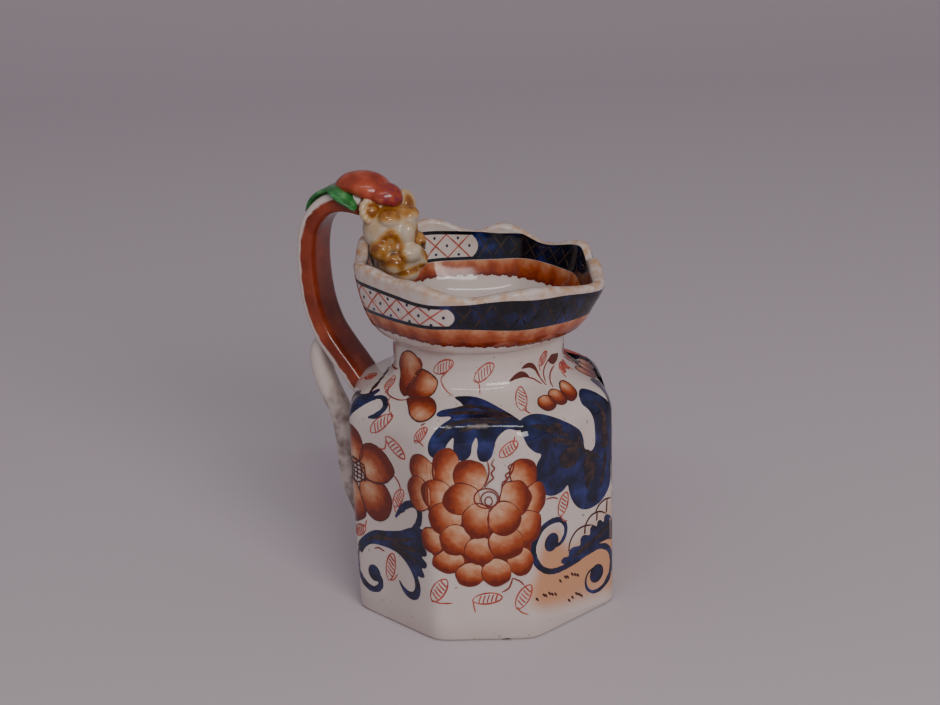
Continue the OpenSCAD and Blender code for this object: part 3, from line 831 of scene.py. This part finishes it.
tree.links.new(mix(tree, attribute(tree, "tone"), "CDC0BA", "C9936F"), shader.inputs["Base Color"])
glaze_waves(tree, shader, 9, 0.06)

finish_layer("cobalt_painting", cobalt_layer, cobalt)
finish_layer("umber_veins", vein_layer, umber)
finish_layer("peach_ground", peach_layer, peach)
finish_layer("orange_petals", orange_layer, orange)
finish_layer("painted_outlines", line_layer, outline_red)
finish_layer("leaf_sprigs", sprig_layer, sprig_red)

# ---------------------------------------------------------------- bands on the collar
# Outside and inside the collar runs a cobalt band, nearly black, between two panels of red trellis
# on white. A shaded orange band with a scalloped foot lies below it. All of it is hand painted.
MM_PER_DEGREE = 0.62
BAND_TOP = ((0, 101.2), (8, 101.6), (25, 103.2), (39, 104.1), (53, 105.2), (62, 105.1), (75, 104.4),
            (99, 104.3), (110, 105), (133, 106), (180, 107.5))
BAND_FOOT = ((4, 93.6), (20, 94.1), (50, 95.5), (79, 96.7), (100, 96.3), (133, 96.5))
ORANGE_FOOT = ((14, 88.6), (32, 89.2), (62, 90.2), (89, 91), (117, 91.8))
PANEL_END = 170


def band_top(azimuth):
    return min(curve_value(BAND_TOP, abs(azimuth)) + band_rise, lip_top(azimuth) - 1.4)


def band_foot(azimuth):
    return curve_value(BAND_FOOT, abs(azimuth)) + band_rise


def outer_face(u, z, lift):
    return collar_at(u / MM_PER_DEGREE, z, lift + CLEAR)


def inner_face(u, z, lift):
    return collar_at(-u / MM_PER_DEGREE, z, lift + CLEAR, LIP_T)


def add_band(layer, place, ends, low, high, lift, tone, rows=8, dip=0.0):
    """A strip between two heights that run along the collar. Dip hollows its ends, in degrees."""
    count = int((ends[1] - ends[0]) / 1.5)
    flat, tones = [], []
    for r in range(rows + 1):
        share = r / rows
        reach = dip * (1 - math.sqrt(max(1 - (2 * share - 1) ** 2, 0)))
        for c in range(count + 1):
            azimuth = ends[0] - reach + (ends[1] - ends[0] + 2 * reach) * c / count
            z = low(azimuth) + (high(azimuth) - low(azimuth)) * share
            flat.append(Vector((azimuth * MM_PER_DEGREE, z)))
            tones.append(tone(azimuth, share))
    quads = []
    for r in range(rows):
        for c in range(count):
            a = r * (count + 1) + c
            quads.append([a, a + 1, a + count + 2, a + count + 1])
    close_skin(layer, flat, quads, lift, place, tones)


dark_layer, bright_layer, trellis_layer = new_layer(), new_layer(), new_layer()
shade_layer, lattice_layer = new_layer(), new_layer()
for place, dark_end, scallop, band_rise in ((outer_face, 80, 0.5, 0), (inner_face, 112, 0.6, 2.6)):
    add_band(dark_layer, place, (-dark_end, dark_end), band_foot, band_top, 0.06,
             lambda azimuth, share: 0.5, dip=9)
    for side in (-1, 1):
        near, far = side * (dark_end + 3), side * PANEL_END
        span = (min(near, far), max(near, far))
        add_band(dark_layer, place, span, lambda a: band_top(a) - 1.1, band_top, 0.066, lambda a, s: 0.8,
                 rows=2)
        add_band(dark_layer, place, span, band_foot, lambda a: band_foot(a) + 1.0, 0.066, lambda a, s: 0.8,
                 rows=2)
        end_u = far * MM_PER_DEGREE
        add_stroke(dark_layer, [(end_u, band_foot(far) + 0.6), (end_u + side * 2.6, band_foot(far) + 4.5),
                                (end_u + side * 2.4, band_top(far) - 3.6), (end_u, band_top(far) - 0.6)],
                   1.0, 0.065,
                   place, ends=(0.9, 0.9))
        # Trellis: two sets of slanting lines, a dot in every mesh.
        pitch = 7.8
        first = (dark_end + 3) * MM_PER_DEGREE
        meshes = int((PANEL_END * MM_PER_DEGREE - first) / pitch)
        for k in range(meshes + 1):
            u = side * (first + 1.2 + pitch * k)
            for lean in (-1, 1):
                over = u + side * lean * pitch
                edge_ends = sorted(abs(x) / MM_PER_DEGREE for x in (u, over))
                if edge_ends[0] < dark_end + 1 or edge_ends[1] > PANEL_END + 3:
                    continue
                low_z = band_foot(u / MM_PER_DEGREE) + 1.0
                high_z = band_top(over / MM_PER_DEGREE) - 1.1
                add_stroke(trellis_layer,
                           [(u, low_z), ((u + over) / 2, (low_z + high_z) / 2), (over, high_z)], 0.42,
                           0.06, place, ends=(0.8, 0.8), wobble=0.5)
            middle = (band_foot(u / MM_PER_DEGREE) + band_top(u / MM_PER_DEGREE)) / 2
            for shift in (0, pitch / 2):
                if u and abs(u) + shift < PANEL_END * MM_PER_DEGREE:
                    spot = side * (abs(u) + shift)
                    z = middle if shift == 0 else middle + 2.6
                    if (abs(spot) + 0.6 > PANEL_END * MM_PER_DEGREE
                            or abs(spot) < (dark_end + 2) * MM_PER_DEGREE):
                        continue
                    add_field(bright_layer, ellipse(spot, z, 0.42, 0.5, count=8), 0.09, place=place, grid=2)
                    if shift:
                        add_field(bright_layer, ellipse(spot, middle - 2.6, 0.5, 0.42, count=8), 0.09,
                                  place=place,
                                  grid=2)
    # Faint gilt lattice over the dark band.
    count = int(2 * dark_end * MM_PER_DEGREE / 5.2)
    for k in range(count + 1):
        u = -dark_end * MM_PER_DEGREE + 5.2 * k
        for lean in (-5.2, 5.2):
            over = u + lean
            if abs(over) > dark_end * MM_PER_DEGREE:
                continue
            low_z, high_z = band_foot(u / MM_PER_DEGREE) + 0.5, band_top(over / MM_PER_DEGREE) - 0.6
            add_stroke(lattice_layer, [(u, low_z), ((u + over) / 2, (low_z + high_z) / 2), (over, high_z)],
                       0.5, 0.09,
                       place, ends=(0.6, 0.6), wobble=0.6)

    def orange_foot(azimuth):
        wave = scallop * abs(math.sin(math.radians(azimuth) * 27))
        return curve_value(ORANGE_FOOT, abs(azimuth)) + band_rise - 0.4 + wave
    add_band(shade_layer, place, (-174, 174), orange_foot, lambda a: band_foot(a) - 0.15, 0.05,
             lambda a, s: 0.85 - 0.62 * s + 0.1 * math.sin(a * 0.47), rows=5)
    # Darker brush marks that make the scallops.
    for k in range(-57, 58):
        azimuth = k * 3
        z = orange_foot(azimuth)
        add_stroke(shade_layer,
                   [(azimuth * MM_PER_DEGREE - 0.9, z + 0.5), (azimuth * MM_PER_DEGREE, z + 0.15),
                                 (azimuth * MM_PER_DEGREE + 0.9, z + 0.6)], 0.7, 0.075, place, tone=0.95)

# The glaze has chipped off the edge of the foot in one place and shows the brown body.
add_field(lattice_layer, [(4.9, 0.1), (5.5, 0.9), (6.6, 1.1), (7.5, 0.8), (7.9, 0.1), (6.4, -0.2)], 0.06,
          grid=0.6)

blue_black, tree, shader = new_material("pooled_cobalt", "12142A", 0.08, 1.52)
tree.links.new(ramp(tree, patches(tree, 7, 3.0, 0.3, 0.7),
                    ((0.0, "07080E"), (0.45, "0B0D1B"), (0.8, "141A3E"),
                                                             (1.0, "202A60"))), shader.inputs["Base Color"])
glaze_waves(tree, shader, 9, 0.06)
worn_gilt, tree, shader = new_material("worn_gilding", "5A3F2A", 0.3, 1.5)
tree.links.new(mix(tree, patches(tree, 3.2, 2.0), "14131C", "46362C"), shader.inputs["Base Color"])
shader.inputs["Metallic"].default_value = 0.35
finish_layer("cobalt_band", dark_layer, blue_black, mirrored=False)
finish_layer("gilt_lattice", lattice_layer, worn_gilt, mirrored=False)
finish_layer("trellis_lines", trellis_layer, sprig_red, mirrored=False)
finish_layer("trellis_dots", bright_layer, cobalt, mirrored=False)
finish_layer("orange_band", shade_layer, orange, mirrored=False)

# ---------------------------------------------------------------- handle
# A flat moulded strap that rises from the shoulder, arches over and ends in the creature's head.
# Orange-red enamel covers its inner face and turns over the edges; the outer face stays white.
STRAP_W = 14.2
STRAP_T = 6.4
STRAP_LINE = [(-35.5, 123), (-39, 123.8), (-43, 123.9), (-47, 122.6), (-50.3, 119.7), (-52.8, 115.6),
              (-54.1, 110),
              (-54.5, 103), (-54, 95), (-52.7, 88), (-50.2, 81.5), (-46.6, 76), (-43.2, 71.5),
              (-39.6, 66.6),
              (-36, 62)]


def swept(name, line, section, ring=28, step=0.9):
    """A closed sweep in the plane of the handle. Section gives side and outward offsets at a turn."""
    path = rounded(line, step, closed=False)
    points, faces, last = [], [], len(path) - 1
    for i, p in enumerate(path):
        along = (path[min(i + 1, last)] - path[max(i - 1, 0)]).normalized()
        outward = Vector((along.y, -along.x))
        for k in range(ring):
            side, out = section(math.tau * k / ring, i / last)
            points.append(Vector((p.x + outward.x * out, side, p.y + outward.y * out)) * MM)
    for i in range(last):
        for k in range(ring):
            ahead = (k + 1) % ring
            faces.append((i * ring + k, i * ring + ahead, (i + 1) * ring + ahead, (i + 1) * ring + k))
    faces.append(tuple(reversed(range(ring))))
    faces.append(tuple(last * ring + k for k in range(ring)))
    piece = mesh_object(name, points, faces)
    bpy.ops.object.mode_set(mode="EDIT")
    bpy.ops.mesh.select_all(action="SELECT")
    bpy.ops.mesh.normals_make_consistent(inside=False)
    bpy.ops.object.mode_set(mode="OBJECT")
    return piece, path


def power(value, exponent):
    return math.copysign(abs(value) ** exponent, value)


def strap_section(turn, share):
    width = STRAP_W / 2 * (0.84 + 0.16 * smoothstep(0, 0.12, share))
    return width * power(math.cos(turn), 0.34), STRAP_T / 2 * power(math.sin(turn), 0.6)


handle_strap, strap_path = swept("handle_strap_glazed", STRAP_LINE, strap_section, 40)
enamel_values = []
for i in range(len(strap_path)):
    for k in range(40):
        out = math.sin(math.tau * k / 40)
        side = abs(math.cos(math.tau * k / 40))
        enamel_values.append(0.5 - 2.4 * (out - 0.16) if side > 0.35 else (1.0 if out < 0 else 0.0))
values = handle_strap.data.attributes.new("enamel", "FLOAT", "POINT")
values.data.foreach_set("value", enamel_values)
strap_paint, tree, shader = new_material("strap_enamel_on_glaze", "B0421F", 0.14, 1.5)
edge = add_node(tree, "ShaderNodeMath", {0: attribute(tree, "enamel")}, operation="ADD")
tree.links.new(multiply(tree, patches(tree, 5, 3.0, 0.3, 0.7), 0.35), edge.inputs[1])
cover = add_node(tree, "ShaderNodeMapRange",
                 {"Value": edge.outputs[0], "From Min": 0.55, "From Max": 0.8}).outputs["Result"]
wash = ramp(tree, patches(tree, 9, 4.0, 0.25, 0.75),
            ((0.0, "5C1D0D"), (0.45, "782911"), (0.75, "8A361B"), (1.0, "9C4628")))
tree.links.new(mix(tree, cover, "CABDB6", wash), shader.inputs["Base Color"])
glaze_waves(tree, shader, 8, 0.12)
handle_strap.data.materials.append(strap_paint)

# ---------------------------------------------------------------- handle's tail
# A forked branch of white clay, rolled by hand and luted to the back of the strap. It runs down the
# rear corner of the body under the same clear glaze, with a grey stain where the colour bled.
TAIL_LINE = [(-50.8, 81), (-53.2, 77), (-54.2, 72.5), (-53.5, 67), (-51.3, 61), (-48.8, 55.8), (-47.2, 51),
             (-46.3, 45), (-45.9, 38), (-44.6, 29), (-41.4, 17)]


def tail_section(turn, share):
    thick = 3.1 + 0.5 * smoothstep(0.35, 0.6, share) - 1.4 * smoothstep(0.75, 1, share)
    thick -= 1.2 * (1 - smoothstep(0, 0.12, share))
    return (thick + 1.2) * power(math.cos(turn), 0.85), thick * power(math.sin(turn), 0.9)


handle_tail = swept("handle_tail_glazed", TAIL_LINE, tail_section, 24)[0]
tail_paint, tree, shader = new_material("tail_glaze", "CABDB6", 0.08, 1.52)
coords = add_node(tree, "ShaderNodeTexCoord").outputs["Object"]
place_z = add_node(tree, "ShaderNodeSeparateXYZ", {"Vector": coords}).outputs["Z"]
lower = add_node(tree, "ShaderNodeMapRange",
                 {"Value": place_z, "From Min": 0.066, "From Max": 0.056}).outputs["Result"]
stain = multiply(tree, multiply(tree, lower, patches(tree, 6, 2.0, 0.4, 0.6)), 0.8)
tree.links.new(mix(tree, stain, "CABDB6", "5A3430"), shader.inputs["Base Color"])
glaze_waves(tree, shader, 8, 0.1)
handle_tail.data.materials.append(tail_paint)
for piece, node in ((handle_strap, "handle_strap"), (handle_tail, "handle_tail")):
    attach(piece, "root")
    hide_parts(node)

# ---------------------------------------------------------------- creature's head
# A small press-moulded beast's head: skull, brow, snout and jowls run together under thick glaze,
# with an amber wash pooled in the hollows. It looks down over the lip and a little to one side.
HEAD_TURN = math.radians(-28)


def head_spot(forward, side, z):
    """Point in the head's own frame: forward along its gaze, side to its left, height in mm."""
    c, s = math.cos(HEAD_TURN), math.sin(HEAD_TURN)
    return Vector((-27.8 + forward * c - side * s, forward * s + side * c, z)) * MM


def lumps(name, balls, voxel, smooth_turns=6):
    """Balls joined into one lump: each is a centre, three radii in mm and tilts in degrees."""
    deselect_all()
    made = []
    for centre, radii, tilt in balls:
        bpy.ops.mesh.primitive_uv_sphere_add(segments=28, ring_count=18, radius=MM, location=centre,
                                             rotation=(0, math.radians(tilt), HEAD_TURN))
        ball = bpy.context.object
        ball.scale = radii
        made.append(ball)
    for ball in made:
        ball.select_set(True)
    bpy.context.view_layer.objects.active = made[0]
    if len(made) > 1:
        bpy.ops.object.join()
    lump = bpy.context.object
    lump.name = name
    lump.data.name = name
    deselect_all()
    lump.select_set(True)
    bpy.context.view_layer.objects.active = lump
    bpy.ops.object.transform_apply(location=True, rotation=True, scale=True)
    remesh = lump.modifiers.new("remesh", "REMESH")
    remesh.mode = "VOXEL"
    remesh.voxel_size = voxel * MM
    bpy.ops.object.modifier_apply(modifier="remesh")
    relax = lump.modifiers.new("relax", "SMOOTH")
    relax.factor = 0.5
    relax.iterations = smooth_turns
    bpy.ops.object.modifier_apply(modifier="relax")
    bpy.ops.object.shade_smooth()
    return lump


HEAD_BALLS = [
    (head_spot(0, 0, 115.4), (8.6, 8.6, 8.6), 0), (head_spot(4, 0, 107.4), (6.6, 7, 7.2), 0),
    (head_spot(4.6, 3.6, 120), (3.4, 3.6, 2.6), 20), (head_spot(4.6, -3.6, 120), (3.4, 3.6, 2.6), 20),
    (head_spot(8, 0, 114.6), (2.6, 2.6, 4.4), 12), (head_spot(9.6, 0, 109.4), (3, 4.4, 3), 0),
    (head_spot(7, 4.6, 106.4), (3.4, 3, 3.6), 0), (head_spot(7, -4.6, 106.4), (3.4, 3, 3.6), 0),
    (head_spot(7.4, 0, 103), (3.4, 4, 3), 0), (head_spot(3.4, 7.4, 110.6), (3.6, 2.4, 3.4), 0),
    (head_spot(3.4, -7.4, 110.6), (3.6, 2.4, 3.4), 0), (head_spot(-5, 0, 119.6), (5.4, 6.4, 4.6), 0),
]
creature_head = lumps("creature_head_glazed", HEAD_BALLS, 0.45, 4)

# Colour of each point: amber in the swirl about each eye, on the brow and along the jaw.
EYE_SPOTS = [head_spot(6.2, side, 110.4) for side in (-5.8, 5.8)]
amber_values, dark_values = [], []
for vertex in creature_head.data.vertices:
    p = vertex.co
    amber = dark = 0.0
    for eye in EYE_SPOTS:
        away = (p - eye) / MM
        d = away.length
        d *= 1 + 0.16 * math.sin(3 * math.atan2(away.z, away.x + away.y) + 0.8)
        amber = max(amber, math.exp(-((d - 4.2) / 1.6) ** 2), 0.6 * (1 - smoothstep(3.6, 6, d)))
        dark = max(dark, math.exp(-(((p - eye - Vector((1.4, 0.6, -0.8)) * MM).length / MM) / 1.5) ** 4))
    z = p.z / MM
    mouth = math.exp(-((z - 105.6 + 0.25 * math.hypot(p.x / MM + 22, p.y / MM)) / 0.9) ** 2)
    brow = smoothstep(118.6, 121.4, z) * 0.85
    grain = noise.noise(p * 260) * 0.5 + 0.5
    amber = max(amber, mouth * (0.5 + grain), brow * (0.3 + grain))
    amber_values.append(min(amber + 0.5 * max(noise.noise(p * 180), 0), 1))
    dark_values.append(min(dark, 1))
for name, numbers in (("amber", amber_values), ("dark", dark_values)):
    values = creature_head.data.attributes.new(name, "FLOAT", "POINT")
    values.data.foreach_set("value", numbers)

amber_glaze, tree, shader = new_material("amber_washed_glaze", "CDBFAF", 0.1, 1.52)
wash_amount = add_node(tree, "ShaderNodeMath", {0: attribute(tree, "amber")}, operation="MULTIPLY")
tree.links.new(add_node(tree, "ShaderNodeMapRange",
                        {"Value": patches(tree, 2.2, 3.0), "To Min": 0.65, "To Max": 1.1})
               .outputs["Result"], wash_amount.inputs[1])
ochre = ramp(tree, wash_amount.outputs[0],
             ((0.0, "C8B9A6"), (0.3, "BC9A6C"), (0.6, "A8722F"), (1.0, "824A1A")))
tree.links.new(mix(tree, attribute(tree, "dark"), ochre, "4A3222"), shader.inputs["Base Color"])
glaze_waves(tree, shader, 4, 0.16)
creature_head.data.materials.append(amber_glaze)


# ---------------------------------------------------------------- ears
# Two small curled ears of the same clay as the head. They are luted on behind the brow, and their
# hollows hold the amber wash.
def curled_ear(name, side, node):
    """An ear: a thick curled rim, open below, round a shallow amber hollow."""
    centre = head_spot(-0.4, side, 122)
    out = (head_spot(4.6, side * 1.22, 123.6) - centre).normalized()
    level = Vector((0, 0, 1)).cross(out).normalized()
    rise = out.cross(level)
    balls = []
    for k in range(13):
        turn = math.radians(-60 + 25 * k)
        size = 1.25 - 0.03 * abs(k - 6)
        balls.append((centre + (level * math.cos(turn) * 3.1 + rise * math.sin(turn) * 3.3) * MM,
                      (size, size, size), 0))
    balls.append((centre - out * 0.9 * MM, (2.9, 2.9, 2.9), 0))
    ear = lumps(name, balls, 0.32, 3)
    depth = []
    for vertex in ear.data.vertices:
        away = vertex.co - centre
        flat = (away - out * away.dot(out)).length / MM
        depth.append(1 - 0.75 * smoothstep(1.6, 3.0, flat) if away.dot(out) > -0.5 * MM else 0.4)
    values = ear.data.attributes.new("amber", "FLOAT", "POINT")
    values.data.foreach_set("value", depth)
    ear.data.materials.append(amber_glaze)
    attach(ear, "root")
    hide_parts(node)


curled_ear("ear_left_glazed", 7, "ear_left")
curled_ear("ear_right_glazed", -6.4, "ear_right")
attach(creature_head, "root")
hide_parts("creature_head")

# ---------------------------------------------------------------- crest over the arch
# A swept-back crest in two lobes, shaped by hand and luted over the arch and the top of the head. It
# is iron-red enamel over the glaze, its tip dabbed with crimson.


def blade(name, line, widths, heights, nodes, material, crease=0.0, ring=20):
    """A tapering closed blade along a line of points. Widths and heights are at its stations."""
    path = []
    count = len(line) - 1
    for i in range(count * 6 + 1):
        k, t = min(i // 6, count - 1), i / 6 - min(i // 6, count - 1)
        p = [Vector(line[min(max(k + d, 0), count)]) for d in (-1, 0, 1, 2)]
        path.append(0.5 * (2 * p[1] + (p[2] - p[0]) * t + (2 * p[0] - 5 * p[1] + 4 * p[2] - p[3]) * t * t
                           + (3 * p[1] - p[0] - 3 * p[2] + p[3]) * t ** 3))
    stations = [i / count for i in range(count + 1)]
    points, faces, last = [], [], len(path) - 1
    for i, p in enumerate(path):
        along = (path[min(i + 1, last)] - path[max(i - 1, 0)]).normalized()
        side = along.cross(Vector((0, 0, 1))).normalized()
        top = side.cross(along)
        w = curve_value(list(zip(stations, widths)), i / last)
        h = curve_value(list(zip(stations, heights)), i / last)
        for k in range(ring):
            a = math.tau * k / ring
            fold = crease * math.cos(2 * a) * h
            points.append((p + side * w * math.cos(a) + top * (h * math.sin(a) + fold)) * MM)
    for i in range(last):
        for k in range(ring):
            ahead = (k + 1) % ring
            faces.append((i * ring + k, i * ring + ahead, (i + 1) * ring + ahead, (i + 1) * ring + k))
    faces.append(tuple(reversed(range(ring))))
    faces.append(tuple(last * ring + k for k in range(ring)))
    piece = mesh_object(name, points, faces)
    bpy.ops.object.mode_set(mode="EDIT")
    bpy.ops.mesh.select_all(action="SELECT")
    bpy.ops.mesh.normals_make_consistent(inside=False)
    bpy.ops.object.mode_set(mode="OBJECT")
    piece.data.materials.append(material)
    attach(piece, "root")
    if nodes:
        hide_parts(*nodes)
    return piece


crest_red, tree, shader = new_material("crest_enamel", "B4452A", 0.2, 1.5)
coords = add_node(tree, "ShaderNodeTexCoord").outputs["Object"]
along_x = add_node(tree, "ShaderNodeSeparateXYZ", {"Vector": coords}).outputs["X"]
tip = add_node(tree, "ShaderNodeMapRange",
               {"Value": along_x, "From Min": -0.032, "From Max": -0.025}).outputs["Result"]
dabs = multiply(tree, tip, patches(tree, 1.6, 2.0, 0.45, 0.6))
body_red = ramp(tree, patches(tree, 5, 3.0, 0.3, 0.7), ((0.0, "85301C"), (0.5, "A03E24"), (1.0, "B4573A")))
tree.links.new(mix(tree, dabs, body_red, "7E2438"), shader.inputs["Base Color"])
glaze_waves(tree, shader, 4, 0.15)

blade("crest_back_glazed",
      [(-45.8, 0, 126.6), (-42, 0, 128.2), (-37.6, 0, 129), (-33, 0, 127.9), (-29.2, 0, 125.2)],
      (0.8, 5, 6.8, 7, 5), (0.7, 2.9, 3.5, 4, 3.4), ["crest_back"], crest_red, -0.12)
blade("crest_front_glazed",
      [(-32.4, -0.6, 126.4), (-29.4, -1, 126.5), (-26.2, -1.4, 125.6), (-23.8, -1.8, 123.6)],
      (3.6, 5.2, 4.6, 1.8), (2.4, 3.3, 3.1, 1.2), ["crest_front"], crest_red, -0.1)

# ---------------------------------------------------------------- leaves over the arch
# Three flat green leaves, pressed from thin clay and luted where the crest starts: one along the
# back of the arch and one down each side. Their green enamel was fired over the glaze.
leaf_green, tree, shader = new_material("leaf_enamel", "2F7A3E", 0.2, 1.5)
tree.links.new(ramp(tree, patches(tree, 3.5, 3.0, 0.3, 0.7),
                    ((0.0, "1C5228"), (0.5, "2E7A3C"), (1.0, "63A062"))),
               shader.inputs["Base Color"])
glaze_waves(tree, shader, 4, 0.15)

blade("leaf_back_glazed",
      [(-55.8, 0, 117), (-53, 0, 122.8), (-48.8, 0, 126.4), (-43.4, 0, 127.8), (-38, 0, 127)],
      (0.9, 4.4, 6, 5.8, 2), (0.6, 1, 1.1, 1.1, 0.6), ["leaf_back"], leaf_green, 0.3)
for side, node in ((1, "leaf_left"), (-1, "leaf_right")):
    blade(f"{node}_glazed", [(-46, side * 3, 128.2), (-42.6, side * 5.2, 127.6), (-38.8, side * 7.2, 125.6),
                             (-35.4, side * 8.2, 122.6)], (0.8, 3.6, 3.8, 0.7), (0.5, 1.2, 1.3, 0.5),
          [node],
          leaf_green, 0.25)

# ---------------------------------------------------------------- table, backdrop and light
# A pale grey-lilac sheet swept up behind the jug.
sweep = [(-3.0, 0), (0.9, 0)]
sweep += [(0.9 + 0.9 * math.sin(math.radians(a)),
           0.9 - 0.9 * math.cos(math.radians(a))) for a in range(6, 91, 6)]
sweep += [(1.8, 3.2)]
away = Vector((-math.sin(VIEW_AZIMUTH), math.cos(VIEW_AZIMUTH), 0))
points, faces = [], []
for distance, rise in sweep:
    for side in (-7, 7):
        points.append(away * distance + away.cross(Vector((0, 0, 1))) * side + Vector((0, 0, rise)))
for i in range(len(sweep) - 1):
    faces.append((2 * i, 2 * i + 1, 2 * i + 3, 2 * i + 2))
backdrop = mesh_object("backdrop", points, faces)
paper, tree, shader = new_material("backdrop_paper", "CDC3C8", 0.9, 1.3)
backdrop.data.materials.append(paper)


def area_light(name, place, aim, size, watts, colour="FFFFFF"):
    data = bpy.data.lights.new(name, "AREA")
    data.shape = "RECTANGLE"
    data.size, data.size_y = size
    data.energy = watts
    data.color = linear(colour)[:3]
    lamp = bpy.data.objects.new(name, data)
    bpy.context.scene.collection.objects.link(lamp)
    lamp.location = place
    lamp.rotation_euler = (Vector(aim) - Vector(place)).to_track_quat("-Z", "Y").to_euler()
    return lamp


area_light("window_right", (0.83, -0.68, 0.545), (0, 0, 0.06), (0.34, 0.34), 3.4, "FFF6F0")
area_light("window_near", (0.61, -0.87, 0.545), (0, 0, 0.06), (0.3, 0.3), 2.2, "FFF8F4")
area_light("strip_above", (0.15, -0.5, 0.82), (0, 0, 0.07), (0.7, 0.05), 1.1, "FFFFFF")
world = bpy.data.worlds.new("studio")
world.use_nodes = True
sky = world.node_tree.nodes["Background"]
sky.inputs["Color"].default_value = linear("C9C6CC")
sky.inputs["Strength"].default_value = 0.6
bpy.context.scene.world = world
